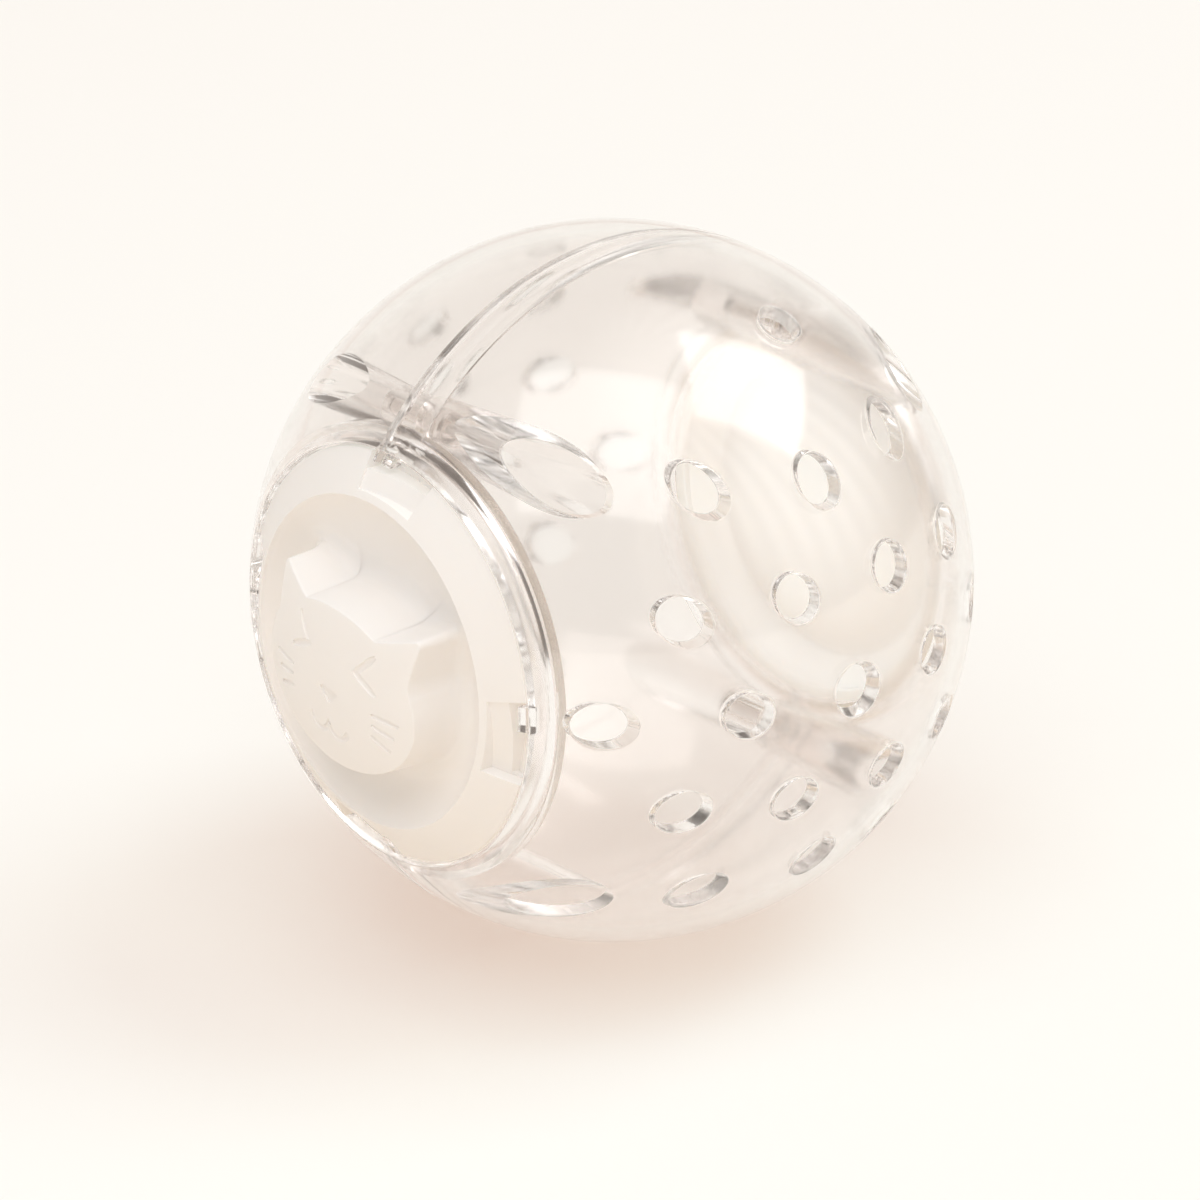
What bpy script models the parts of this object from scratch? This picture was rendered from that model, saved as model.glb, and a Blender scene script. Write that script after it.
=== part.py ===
"""Clear snack ball for a pet.

Two clear half shells meet on an upright seam and are held by four push pins in moulded posts.
A round white door sits in the collar at the front and another at the back. Vents pierce both sides.

Frame: metres, +Z up, origin at the ball's centre. The front door looks along -Y, the back door along +Y.
The seam lies in the plane X = 0, with the right half on +X and the left half on -X.
"""
import math

import bmesh
import bpy
from mathutils import Matrix, Vector

MM = 0.001

# Ball and seam
BALL_RADIUS = 50.0 * MM
WALL = 2.0 * MM
FITTING_DEPTH = 0.8 * MM
SEAM_GAP = 0.3 * MM
TONGUE_LENGTH = 1.2 * MM
TONGUE_THICKNESS = 0.85 * MM
TONGUE_CLEARANCE = 0.3 * MM
BAND_HEIGHT = 0.6 * MM
BAND_WIDTH = 4.0 * MM

# Vents: tapered holes drawn along X, on three rings of six about one larger hole at the pole
VENT_RINGS = ((19.7, 0.0), (33.5, 30.0), (42.6, 0.0))
VENTS_PER_RING = 6
VENT_MOUTH = 6.5 * MM
VENT_TAPER = math.radians(12.0)
POLE_MOUTH = 8.0 * MM
POLE_TAPER = math.radians(31.0)
VENT_OVERCUT = 0.3 * MM

# One more vent by the crown, square to the wall
CROWN_MOUTH = 6.2 * MM
CROWN_VENT_POLAR = math.radians(60.7)
CROWN_VENT_TURN = math.radians(78.6)

# Posts, parallel to X, and the pins that hold the halves together
POST_INSET = 4.75 * MM
WELL_POST_WALL = 1.0 * MM
BLIND_POST_ROOT = 2.9 * MM
POST_DRAFT = math.radians(3.0)
WELL_FLOOR = 2.2 * MM
WELL_DRAFT = math.radians(3.0)
PIN_HEAD_RADIUS = 2.5 * MM
PIN_HEAD_HEIGHT = 1.6 * MM
PIN_SHANK_RADIUS = 0.9 * MM
PIN_LENGTH = 11.0 * MM
PIN_TIP = 0.5 * MM
PIN_CLEARANCE = 0.3 * MM

# Collar that holds a door, moulded half on each shell
DOOR_RADIUS = 29.0 * MM
DOOR_CLEARANCE = 0.3 * MM
COLLAR_WALL = 1.75 * MM
LEDGE_WIDTH = 2.1 * MM
LEDGE_THICKNESS = 1.2 * MM
TAB_REACH = 1.7 * MM
TAB_DROP = 1.4 * MM
TAB_HALF_WIDTH = math.radians(3.5)
TAB_SIDE_CLEARANCE = math.radians(1.0)
TAB_COUNT = 4

# Door
DOOR_SINK = 0.7 * MM
DOOR_SKIRT = 3.8 * MM
DOOR_SKIRT_WALL = 3.4 * MM
DOOR_WALL = 2.0 * MM
DOOR_TURN = math.radians(7.5)
RIM_WIDTH = 5.7 * MM
CREASE_WIDTH = 0.4 * MM
CREASE_DEPTH = 0.55 * MM
BOWL_DEPTH = 4.6 * MM
BOWL_FLATNESS = 6
POCKET_HALF_WIDTH = math.radians(12.4)
POCKET_WIDTH = 4.7 * MM
POCKET_SHALLOW = 0.3 * MM
POCKET_DEEP = 1.7 * MM
TRACK_WIDTH = 2.3 * MM

# Raised cat head on the door: an oval with two ears, domed to the ball's own curve
HEAD_HALF_WIDTH = 15.3 * MM
HEAD_HALF_HEIGHT = 11.7 * MM
HEAD_DROP = 2.2 * MM
EAR_TIP = (14.4 * MM, 10.8 * MM)
EAR_INNER_ANGLE = math.radians(61.5)
EAR_OUTER_ANGLE = math.radians(28.0)
EAR_SPREAD = (1.4, 1.8)
HEAD_DRAFT = 0.5 * MM

# Marks cut into the face, as (across, up) points: eyes, whiskers, nose and mouth
MARK_WIDTH = 0.8 * MM
MARK_DEPTH = 0.35 * MM
SIDE_MARKS = (
    ((7.8 * MM, 6.0 * MM), (4.8 * MM, 2.5 * MM), (8.7 * MM, 0.6 * MM)),
    ((8.2 * MM, -2.4 * MM), (12.9 * MM, -2.4 * MM)),
    ((8.4 * MM, -4.0 * MM), (12.2 * MM, -4.6 * MM)),
    ((8.2 * MM, -5.7 * MM), (11.6 * MM, -6.9 * MM)),
)
NOSE_MARK = ((-2.1 * MM, -2.3 * MM), (0.0, -4.2 * MM), (2.1 * MM, -2.3 * MM))
MOUTH_TURN = 1.9 * MM
MOUTH_UP = -7.4 * MM

# Plastics
CLEAR_COLOUR = (0.94, 0.91, 0.88)
CLEAR_ROUGHNESS = 0.05
PIN_COLOUR = (0.92, 0.90, 0.88)
PIN_ROUGHNESS = 0.08
DOOR_COLOUR = (0.93, 0.90, 0.86)
DOOR_ROUGHNESS = 0.35

# Facets
BALL_SEGMENTS = 40
BALL_STEPS = 9
DOOR_SEGMENTS = 48
RIM_STEPS = 3
BOWL_STEPS = 6
POST_SEGMENTS = 20
WELL_SEGMENTS = 16
VENT_SEGMENTS = 10
SECTOR_STEPS = 4
VENT_ROUNDS = 8
CROWN_STEPS = 3
HEAD_STEPS = 10
HEAD_RINGS = 3
MOUTH_STEPS = 4
SHARP_ANGLE = math.radians(30.0)
MERGE_DISTANCE = 0.001 * MM
OVERSHOOT = 2.0 * MM

# Sizes that follow from the ones above
INNER_RADIUS = BALL_RADIUS - WALL
CLIP_RADIUS = BALL_RADIUS - FITTING_DEPTH
HALF_GAP = SEAM_GAP / 2
DOOR_SPHERE = BALL_RADIUS - DOOR_SINK


def reach_on(sphere_radius, radius):
    """Height above the ball's centre where a sphere is this far from the axis."""
    return math.sqrt(sphere_radius ** 2 - radius ** 2)


BORE_RADIUS = DOOR_RADIUS + DOOR_CLEARANCE
COLLAR_RADIUS = BORE_RADIUS + COLLAR_WALL
DOOR_EDGE = reach_on(DOOR_SPHERE, DOOR_RADIUS)
DOOR_FOOT = DOOR_EDGE - DOOR_SKIRT
LEDGE_TOP = DOOR_FOOT - DOOR_CLEARANCE
LEDGE_FOOT = LEDGE_TOP - LEDGE_THICKNESS
TAB_FOOT = DOOR_EDGE - TAB_DROP
TRACK_FLOOR = TAB_FOOT - DOOR_CLEARANCE
PIN_HOLE_RADIUS = PIN_SHANK_RADIUS + PIN_CLEARANCE
WELL_RADIUS = PIN_HEAD_RADIUS + PIN_CLEARANCE
WELL_POST_ROOT = WELL_RADIUS + WELL_POST_WALL
PIN_SEAT = HALF_GAP + WELL_FLOOR + PIN_CLEARANCE
POST_RING = INNER_RADIUS - POST_INSET
POST_Y = LEDGE_FOOT - WELL_POST_ROOT - DOOR_CLEARANCE
POST_Z = reach_on(POST_RING, POST_Y)
POSTS = {
    "top_front": (-POST_Y, POST_Z),
    "bottom_front": (-POST_Y, -POST_Z),
    "top_back": (POST_Y, POST_Z),
    "bottom_back": (POST_Y, -POST_Z),
}


def clear_scene():
    for obj in list(bpy.data.objects):
        bpy.data.objects.remove(obj, do_unlink=True)


def paint(obj, colour, roughness, transmission):
    """Give the piece its own moulded plastic, clear or opaque."""
    material = bpy.data.materials.new(f"{obj.name}_plastic")
    material.use_nodes = True
    shader = material.node_tree.nodes["Principled BSDF"]
    shader.inputs["Base Color"].default_value = (*colour, 1.0)
    shader.inputs["Roughness"].default_value = roughness
    shader.inputs["Metallic"].default_value = 0.0
    shader.inputs["Transmission Weight"].default_value = transmission
    obj.data.materials.append(material)


def add_object(name, bm):
    """Close the mesh, turn its faces outwards and put it in the scene."""
    bmesh.ops.remove_doubles(bm, verts=bm.verts, dist=MERGE_DISTANCE)
    bmesh.ops.recalc_face_normals(bm, faces=bm.faces)
    mesh = bpy.data.meshes.new(name)
    bm.to_mesh(mesh)
    bm.free()
    mesh.shade_smooth()
    mesh.set_sharp_from_angle(angle=SHARP_ANGLE)
    obj = bpy.data.objects.new(name, mesh)
    bpy.context.scene.collection.objects.link(obj)
    return obj


def combine(target, tool, operation):
    """Join a tool shape to the target, cut it out, or keep only what is inside it."""
    modifier = target.modifiers.new(tool.name, "BOOLEAN")
    modifier.operation = operation
    modifier.solver = "MANIFOLD"
    modifier.object = tool
    tool.hide_render = True
    tool.display_type = "WIRE"


def lathe_x(bm, outline, steps=BALL_SEGMENTS):
    """Turn (radius, x) points about the X axis."""
    spin_outline(bm, [(x, 0.0, radius) for radius, x in outline], outline, "X", math.tau, steps)


def lathe_y(bm, outline, steps=DOOR_SEGMENTS, start=0.0, sweep=math.tau, facing=-1):
    """Turn (radius, reach) points about the Y axis, clockwise from +Z as the front door is seen."""
    spots = [(r * math.sin(start), facing * reach, r * math.cos(start)) for r, reach in outline]
    spin_outline(bm, spots, outline, "Y", sweep, steps)


def spin_outline(bm, spots, outline, axis, sweep, steps):
    verts = [bm.verts.new(spot) for spot in spots]
    edges = [bm.edges.new(pair) for pair in zip(verts, verts[1:])]
    if outline[0][0] > 0.0:
        edges.append(bm.edges.new((verts[-1], verts[0])))
    vector = (1.0, 0.0, 0.0) if axis == "X" else (0.0, 1.0, 0.0)
    bmesh.ops.spin(bm, geom=verts + edges, axis=vector, angle=sweep, steps=steps)
    if sweep < math.tau:
        rims = [edge for edge in bm.edges if edge.is_boundary]
        bmesh.ops.holes_fill(bm, edges=rims, sides=0)
    else:
        bmesh.ops.remove_doubles(bm, verts=bm.verts, dist=MERGE_DISTANCE)


def arc(sphere_radius, first, last, steps):
    """Points (radius, reach) along a sphere, between two angles from its pole."""
    turns = [first + (last - first) * i / steps for i in range(steps + 1)]
    return [(sphere_radius * math.sin(turn), sphere_radius * math.cos(turn)) for turn in turns]


def dome(sphere_radius, side, foot, steps=BALL_STEPS):
    """A half sphere's outline from its pole to its foot, as (radius, x) points on one side of the seam."""
    points = arc(sphere_radius, 0.0, math.acos(foot / sphere_radius), steps)
    points[0] = (0.0, sphere_radius)
    return [(radius, side * x) for radius, x in points]


def half_wall(name, side):
    """Half of the ball's wall."""
    bm = bmesh.new()
    lathe_x(bm, dome(BALL_RADIUS, side, HALF_GAP) + dome(INNER_RADIUS, side, HALF_GAP)[::-1])
    return add_object(name, bm)


def half_clip(side):
    """Solid half ball that ends inside the wall: what is moulded on a shell is trimmed to it."""
    bm = bmesh.new()
    lathe_x(bm, dome(CLIP_RADIUS, side, HALF_GAP) + [(0.0, side * HALF_GAP)])
    return add_object("clip", bm)


def add_cone(bm, start, end, radius_start, radius_end, segments):
    """A round tapered solid between two points."""
    start, end = Vector(start), Vector(end)
    axis = end - start
    place = Matrix.Translation((start + end) / 2) @ axis.to_track_quat("Z", "Y").to_matrix().to_4x4()
    bmesh.ops.create_cone(bm, cap_ends=True, segments=segments, radius1=radius_start, radius2=radius_end,
                          depth=axis.length, matrix=place)


def posts(side):
    """Four tapered posts that stand inside the wall, clear of it at the seam."""
    root = WELL_POST_ROOT if side > 0 else BLIND_POST_ROOT
    tip = root + BALL_RADIUS * math.tan(POST_DRAFT)
    bm = bmesh.new()
    for y, z in POSTS.values():
        add_cone(bm, (side * -OVERSHOOT, y, z), (side * BALL_RADIUS, y, z), root, tip, POST_SEGMENTS)
    return add_object("posts", bm)


def collars():
    """A ring round each door opening, with the ledge that the door's foot rests on."""
    ledge = BORE_RADIUS - LEDGE_WIDTH
    bm = bmesh.new()
    for facing in (-1, 1):
        outline = [(ledge, LEDGE_FOOT), (COLLAR_RADIUS, LEDGE_FOOT),
                   (COLLAR_RADIUS, BALL_RADIUS), (ledge, BALL_RADIUS)]
        lathe_y(bm, outline, facing=facing)
    return add_object("collars", bm)


def door_bores(radius=BORE_RADIUS):
    """The round openings that the doors slide into."""
    bm = bmesh.new()
    for facing in (-1, 1):
        far = BALL_RADIUS + OVERSHOOT
        outline = [(0.0, LEDGE_TOP), (radius, LEDGE_TOP), (radius, far), (0.0, far)]
        lathe_y(bm, outline, facing=facing)
    return add_object("door_bores", bm)


def tabs():
    """Small keys inside each collar that sit in the door's pockets."""
    tip = BORE_RADIUS - TAB_REACH
    root = BORE_RADIUS + COLLAR_WALL / 2
    outline = [(tip, TAB_FOOT), (root, TAB_FOOT), (root, BALL_RADIUS), (tip, BALL_RADIUS)]
    bm = bmesh.new()
    for facing in (-1, 1):
        for index in range(TAB_COUNT):
            start = math.tau * index / TAB_COUNT - TAB_HALF_WIDTH
            lathe_y(bm, outline, SECTOR_STEPS, start, 2 * TAB_HALF_WIDTH, facing)
    return add_object("tabs", bm)


def wells():
    """Tapered wells in the right half's posts, with a pin hole through each floor."""
    floor = HALF_GAP + WELL_FLOOR
    mouth = WELL_RADIUS + (BALL_RADIUS - floor) * math.tan(WELL_DRAFT)
    bm = bmesh.new()
    for y, z in POSTS.values():
        add_cone(bm, (floor, y, z), (BALL_RADIUS, y, z), WELL_RADIUS, mouth, WELL_SEGMENTS)
    return add_object("wells", bm)


def pin_holes():
    """Pin holes through the right posts' floors and blind into the left posts."""
    bottom = PIN_SEAT - PIN_LENGTH - PIN_CLEARANCE
    top = PIN_SEAT + OVERSHOOT / 2
    bm = bmesh.new()
    for y, z in POSTS.values():
        add_cone(bm, (bottom, y, z), (top, y, z), PIN_HOLE_RADIUS, PIN_HOLE_RADIUS, VENT_SEGMENTS)
    return add_object("pin_holes", bm)


def add_vent(bm, side, polar, turn, mouth, taper):
    """One tapered hole, drawn along X through the wall at a point of the sphere."""
    off = BALL_RADIUS * math.sin(polar)
    middle = BALL_RADIUS * math.cos(polar)

    def hole_radius(x):
        return mouth / 2 + (x - middle) * math.tan(taper)

    inner = outer = middle
    for _ in range(VENT_ROUNDS):
        inner = reach_on(INNER_RADIUS, off + hole_radius(inner))
        outer = reach_on(BALL_RADIUS, max(off - hole_radius(outer), 0.0))
    inner -= VENT_OVERCUT
    outer += VENT_OVERCUT
    y, z = off * math.cos(turn), off * math.sin(turn)
    add_cone(bm, (side * inner, y, z), (side * outer, y, z), hole_radius(inner), hole_radius(outer),
             VENT_SEGMENTS)


def add_crown_vent(bm, side):
    """The tapered hole by the crown."""
    ray = Vector((side * math.cos(CROWN_VENT_POLAR), math.sin(CROWN_VENT_POLAR) * math.cos(CROWN_VENT_TURN),
                  math.sin(CROWN_VENT_POLAR) * math.sin(CROWN_VENT_TURN)))
    inner, outer = INNER_RADIUS - VENT_OVERCUT, BALL_RADIUS + VENT_OVERCUT
    throat = CROWN_MOUTH / 2 - (outer - inner) * math.tan(VENT_TAPER)
    add_cone(bm, inner * ray, outer * ray, throat, CROWN_MOUTH / 2, VENT_SEGMENTS)


def vents(side):
    """The vents of one half: a pole hole, the rings about it, and one by the crown."""
    bm = bmesh.new()
    add_vent(bm, side, 0.0, 0.0, POLE_MOUTH, POLE_TAPER)
    for polar, offset in VENT_RINGS:
        for index in range(VENTS_PER_RING):
            turn = math.radians(offset) + math.tau * index / VENTS_PER_RING
            add_vent(bm, side, math.radians(polar), turn, VENT_MOUTH, VENT_TAPER)
    add_crown_vent(bm, side)
    return add_object("vents", bm)


def tongue():
    """The right half's inner band and the lip on it that laps the seam, stopped short of the door bores."""
    inner = INNER_RADIUS - BAND_HEIGHT
    outer = INNER_RADIUS + TONGUE_THICKNESS
    bm = bmesh.new()
    lathe_x(bm, [(inner, -TONGUE_LENGTH), (outer, -TONGUE_LENGTH), (outer, BAND_WIDTH), (inner, BAND_WIDTH)])
    lip = add_object("tongue", bm)
    combine(lip, door_bores(BORE_RADIUS + TONGUE_CLEARANCE), "DIFFERENCE")
    return lip


def tongue_groove():
    """Room in the left half for the right half's tongue."""
    outer = INNER_RADIUS + TONGUE_THICKNESS + TONGUE_CLEARANCE
    inner = INNER_RADIUS - WALL / 2
    depth = -TONGUE_LENGTH - TONGUE_CLEARANCE
    bm = bmesh.new()
    lathe_x(bm, [(inner, depth), (outer, depth), (outer, OVERSHOOT), (inner, OVERSHOOT)])
    return add_object("tongue_groove", bm)


def half_shell(name, side):
    """One clear half: its wall with posts, half collars, tabs, pin holes and vents."""
    shell = half_wall(name, side)
    clip = half_clip(side)
    for fitting in (posts(side), collars()):
        combine(fitting, clip, "INTERSECT")
        combine(shell, fitting, "UNION")
    combine(shell, door_bores(), "DIFFERENCE")
    keys = tabs()
    combine(keys, clip, "INTERSECT")
    combine(shell, keys, "UNION")
    if side > 0:
        combine(shell, tongue(), "UNION")
        combine(shell, wells(), "DIFFERENCE")
    else:
        combine(shell, tongue_groove(), "DIFFERENCE")
    combine(shell, pin_holes(), "DIFFERENCE")
    combine(shell, vents(side), "DIFFERENCE")
    paint(shell, CLEAR_COLOUR, CLEAR_ROUGHNESS, 1.0)


def door_outline():
    """The door's section: bowl, crease, rim on the ball's curve, skirt, and the plain back inside it."""
    rim_inner = DOOR_RADIUS - RIM_WIDTH
    first, last = math.asin(rim_inner / DOOR_SPHERE), math.asin(DOOR_RADIUS / DOOR_SPHERE)
    rim = arc(DOOR_SPHERE, first, last, RIM_STEPS)
    brim = rim_inner - CREASE_WIDTH
    brim_reach = rim[0][1] - CREASE_DEPTH
    bowl = []
    back = []
    for index in range(BOWL_STEPS + 1):
        share = math.sqrt(index / BOWL_STEPS)
        reach = brim_reach - BOWL_DEPTH * (1.0 - share ** BOWL_FLATNESS)
        bowl.append((brim * share, reach))
        back.append(((brim - DOOR_WALL / 2) * share, reach - DOOR_WALL))
    skirt_inner = DOOR_RADIUS - DOOR_SKIRT_WALL
    skirt = [(DOOR_RADIUS, DOOR_FOOT), (skirt_inner, DOOR_FOOT), (skirt_inner, DOOR_FOOT + DOOR_WALL / 2)]
    return bowl + rim + skirt + back[::-1]


def head_outline(spread):
    """Cat head seen from the front, as (across, up) points: an oval with two ears, let out by spread."""
    half_width, half_height = HEAD_HALF_WIDTH + spread, HEAD_HALF_HEIGHT + spread

    def oval(first, last, steps):
        turns = [first + (last - first) * index / steps for index in range(steps + 1)]
        return [(half_width * math.cos(turn), half_height * math.sin(turn) - HEAD_DROP) for turn in turns]

    tip = (EAR_TIP[0] + EAR_SPREAD[0] * spread, EAR_TIP[1] + EAR_SPREAD[1] * spread)
    crown = oval(math.pi / 2, EAR_INNER_ANGLE, CROWN_STEPS)
    cheek = oval(EAR_OUTER_ANGLE, -math.pi / 2, HEAD_STEPS)
    right = crown + [tip] + cheek
    return right + [(-across, up) for across, up in right[-2:0:-1]]


def head(foot):
    """The cat head: a drafted block that rises from the bowl to a face domed on the ball's sphere."""
    bm = bmesh.new()
    rings = [[bm.verts.new((x, -foot, z)) for x, z in head_outline(HEAD_DRAFT)]]
    for index in range(HEAD_RINGS):
        share = 1.0 - index / HEAD_RINGS
        spots = [(x * share, z * share) for x, z in head_outline(0.0)]
        rings.append([bm.verts.new((x, -reach_on(BALL_RADIUS, math.hypot(x, z)), z)) for x, z in spots])
    middle = bm.verts.new((0.0, -BALL_RADIUS, 0.0))
    bm.faces.new(rings[0])
    for near, far in zip(rings, rings[1:]):
        for index in range(len(near)):
            bm.faces.new((near[index - 1], near[index], far[index], far[index - 1]))
    for first, second in zip(rings[-1], rings[-1][1:] + rings[-1][:1]):
        bm.faces.new((first, second, middle))
    return add_object("head", bm)


def ribbon(line):
    """The outline of a stroke along a line, with mitred corners."""
    spots = [Vector(spot) for spot in line]
    ways = [(after - before).normalized() for before, after in zip(spots, spots[1:])]
    near, far = [], []
    for spot, before, after in zip(spots, ways[:1] + ways, ways + ways[-1:]):
        across = Vector((-before.y - after.y, before.x + after.x)).normalized()
        offset = across * MARK_WIDTH / (2 * across.dot(Vector((-before.y, before.x))))
        near.append(spot - offset)
        far.append(spot + offset)
    return near + far[::-1]


def add_cut(bm, outline):
    """A cutter with this outline, from outside the ball down to a little under the head's dome."""
    sky = -BALL_RADIUS - OVERSHOOT
    floors = [-reach_on(BALL_RADIUS, math.hypot(x, z)) + MARK_DEPTH for x, z in outline]
    low = [bm.verts.new((x, floor, z)) for (x, z), floor in zip(outline, floors)]
    high = [bm.verts.new((x, sky, z)) for x, z in outline]
    bm.faces.new(low)
    bm.faces.new(high)
    for index in range(len(outline)):
        bm.faces.new((low[index - 1], low[index], high[index], high[index - 1]))


def face_marks():
    """The face cut into the cat head: eyes, whiskers, nose, and a mouth of two hanging curves."""
    bm = bmesh.new()
    for line in SIDE_MARKS:
        for side in (-1, 1):
            add_cut(bm, ribbon([(side * across, up) for across, up in line]))
    add_cut(bm, NOSE_MARK)
    mouth = []
    for side in (-1, 1):
        for index in range(MOUTH_STEPS + 1):
            turn = math.pi * (1.0 + index / MOUTH_STEPS)
            mouth.append((MOUTH_TURN * (side + math.cos(turn)), MOUTH_UP + MOUTH_TURN * math.sin(turn)))
    mouth.pop(MOUTH_STEPS)
    add_cut(bm, ribbon(mouth))
    return add_object("face_marks", bm)


def door_pockets():
    """Four finger rests in the rim that slope down to a short end wall."""
    inner = DOOR_RADIUS - POCKET_WIDTH
    outer = DOOR_RADIUS + DOOR_CLEARANCE
    shallow = DOOR_SPHERE - POCKET_SHALLOW
    outline = [(inner, reach_on(shallow, inner)), (outer, reach_on(shallow, outer)),
               (outer, BALL_RADIUS), (inner, BALL_RADIUS)]
    spacing = math.tau / TAB_COUNT
    bm = bmesh.new()
    for index in range(TAB_COUNT):
        lathe_y(bm, outline, SECTOR_STEPS, spacing * index - POCKET_HALF_WIDTH, 2 * POCKET_HALF_WIDTH)
    for vert in bm.verts:
        if -vert.co.y < shallow:
            turn = math.atan2(vert.co.x, vert.co.z)
            past_start = turn - spacing * round(turn / spacing) + POCKET_HALF_WIDTH
            vert.co.y += (POCKET_DEEP - POCKET_SHALLOW) * past_start / (2 * POCKET_HALF_WIDTH)
    return add_object("door_pockets", bm)


def door_tracks():
    """The deeper track at the outer side of each pocket, which the collar's tab runs in."""
    inner = DOOR_RADIUS - TRACK_WIDTH
    outer = DOOR_RADIUS + DOOR_CLEARANCE
    outline = [(inner, TRACK_FLOOR), (outer, TRACK_FLOOR), (outer, BALL_RADIUS), (inner, BALL_RADIUS)]
    bm = bmesh.new()
    for index in range(TAB_COUNT):
        start = math.tau * index / TAB_COUNT - POCKET_HALF_WIDTH
        lathe_y(bm, outline, SECTOR_STEPS, start, 2 * POCKET_HALF_WIDTH)
    return add_object("door_tracks", bm)


def door_notches():
    """Slots through the skirt at one end of each pocket, where the tabs pass as the door is pulled."""
    inner = BORE_RADIUS - TAB_REACH - DOOR_CLEARANCE
    outer = DOOR_RADIUS + DOOR_CLEARANCE
    foot = DOOR_FOOT - OVERSHOOT
    half_width = TAB_HALF_WIDTH + TAB_SIDE_CLEARANCE
    outline = [(inner, foot), (outer, foot), (outer, BALL_RADIUS), (inner, BALL_RADIUS)]
    bm = bmesh.new()
    for index in range(TAB_COUNT):
        start = math.tau * index / TAB_COUNT - DOOR_TURN - half_width
        lathe_y(bm, outline, SECTOR_STEPS, start, 2 * half_width)
    return add_object("door_notches", bm)


def door(name, heading):
    """A white door with a raised cat head, turned a little in its collar."""
    bm = bmesh.new()
    lathe_y(bm, door_outline())
    body = add_object(name, bm)
    floor = door_outline()[0][1]
    tools = (
        (head(floor - DOOR_WALL / 2), "UNION"),
        (face_marks(), "DIFFERENCE"),
        (door_pockets(), "DIFFERENCE"),
        (door_tracks(), "DIFFERENCE"),
        (door_notches(), "DIFFERENCE"),
    )
    for tool, operation in tools:
        tool.parent = body
        combine(body, tool, operation)
    body.rotation_euler = (0.0, DOOR_TURN, heading)
    paint(body, DOOR_COLOUR, DOOR_ROUGHNESS, 0.0)


def pin(name, y, z):
    """A push pin: its head sits on the well's floor and its shank holds in the left post."""
    top = PIN_SEAT + PIN_HEAD_HEIGHT
    end = PIN_SEAT - PIN_LENGTH
    outline = [(0.0, top), (PIN_HEAD_RADIUS, top), (PIN_HEAD_RADIUS, PIN_SEAT), (PIN_SHANK_RADIUS, PIN_SEAT),
               (PIN_SHANK_RADIUS, end + PIN_TIP), (PIN_SHANK_RADIUS - PIN_TIP, end), (0.0, end)]
    bm = bmesh.new()
    lathe_x(bm, outline, VENT_SEGMENTS)
    obj = add_object(name, bm)
    obj.location = (0.0, y, z)
    paint(obj, PIN_COLOUR, PIN_ROUGHNESS, 1.0)


def main():
    clear_scene()
    half_shell("right_half_shell", 1)
    half_shell("left_half_shell", -1)
    door("front_door", 0.0)
    door("back_door", math.pi)
    for place, (y, z) in POSTS.items():
        pin(f"{place}_pin", y, z)


main()
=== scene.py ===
"""Clear snack ball for a pet, with a white door at front and back, built round the packed frame."""
import math

import bpy
import numpy as np
from mathutils import Matrix, Vector


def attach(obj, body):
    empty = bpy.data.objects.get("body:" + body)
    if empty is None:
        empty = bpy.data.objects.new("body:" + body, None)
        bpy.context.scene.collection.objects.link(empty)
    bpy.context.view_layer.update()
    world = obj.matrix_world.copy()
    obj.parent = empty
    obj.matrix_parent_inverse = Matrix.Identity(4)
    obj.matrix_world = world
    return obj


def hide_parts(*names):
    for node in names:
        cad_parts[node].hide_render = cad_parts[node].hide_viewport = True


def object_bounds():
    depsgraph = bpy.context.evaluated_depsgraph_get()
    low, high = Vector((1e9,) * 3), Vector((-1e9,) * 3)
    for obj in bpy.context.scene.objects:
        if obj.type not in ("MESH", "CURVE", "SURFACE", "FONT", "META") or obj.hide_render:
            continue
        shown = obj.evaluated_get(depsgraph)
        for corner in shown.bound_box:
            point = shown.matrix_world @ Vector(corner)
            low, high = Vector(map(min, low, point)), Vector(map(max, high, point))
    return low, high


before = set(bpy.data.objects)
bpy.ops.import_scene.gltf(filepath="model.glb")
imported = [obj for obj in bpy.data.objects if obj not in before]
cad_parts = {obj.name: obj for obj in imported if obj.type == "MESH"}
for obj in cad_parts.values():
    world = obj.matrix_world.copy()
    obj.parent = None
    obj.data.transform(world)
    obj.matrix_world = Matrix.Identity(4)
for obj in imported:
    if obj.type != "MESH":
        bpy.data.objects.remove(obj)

CAD_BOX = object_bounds()

bl_info = {
    "name": "Snack Ball",
    "version": (1, 0, 0),
    "blender": (4, 5, 0),
    "location": "View3D > Sidebar > Snack Ball",
    "description": "Builds a clear snack ball with two white doors, and the studio that it lies in",
    "category": "Object",
}

MM = 0.001
MERGE = 1e-6
BALL_STEPS = 192
DOME_STEPS = 60
DOOR_COLUMNS = 420
ROUND_STEPS = 6
WIDE_STEPS = 8
EDGE_STEPS = 4
TINY_STEPS = 3
LEAD_RISE = 0.25 * MM
NEAR_SPHERE = 0.02 * MM
SPHERE_FACING = 0.85
SMOOTH_ANGLE = math.radians(32.0)
OUT, IN, UP, DOWN = (1.0, 0.0), (-1.0, 0.0), (0.0, 1.0), (0.0, -1.0)


# Settings

def length(label, millimetres, note):
    return bpy.props.FloatProperty(name=label, description=note, default=millimetres * MM, precision=5,
                                   unit="LENGTH")


def turn(label, degrees, note):
    return bpy.props.FloatProperty(name=label, description=note, default=math.radians(degrees),
                                   subtype="ANGLE")


def colour(label, rgb, note):
    return bpy.props.FloatVectorProperty(name=label, description=note, default=rgb, size=3, min=0.0, max=1.0,
                                         subtype="COLOR")


def amount(label, value, note):
    return bpy.props.FloatProperty(name=label, description=note, default=value, precision=4)


def power(label, watts, note):
    return bpy.props.FloatProperty(name=label, description=note, default=watts, precision=3, unit="POWER")


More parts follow.
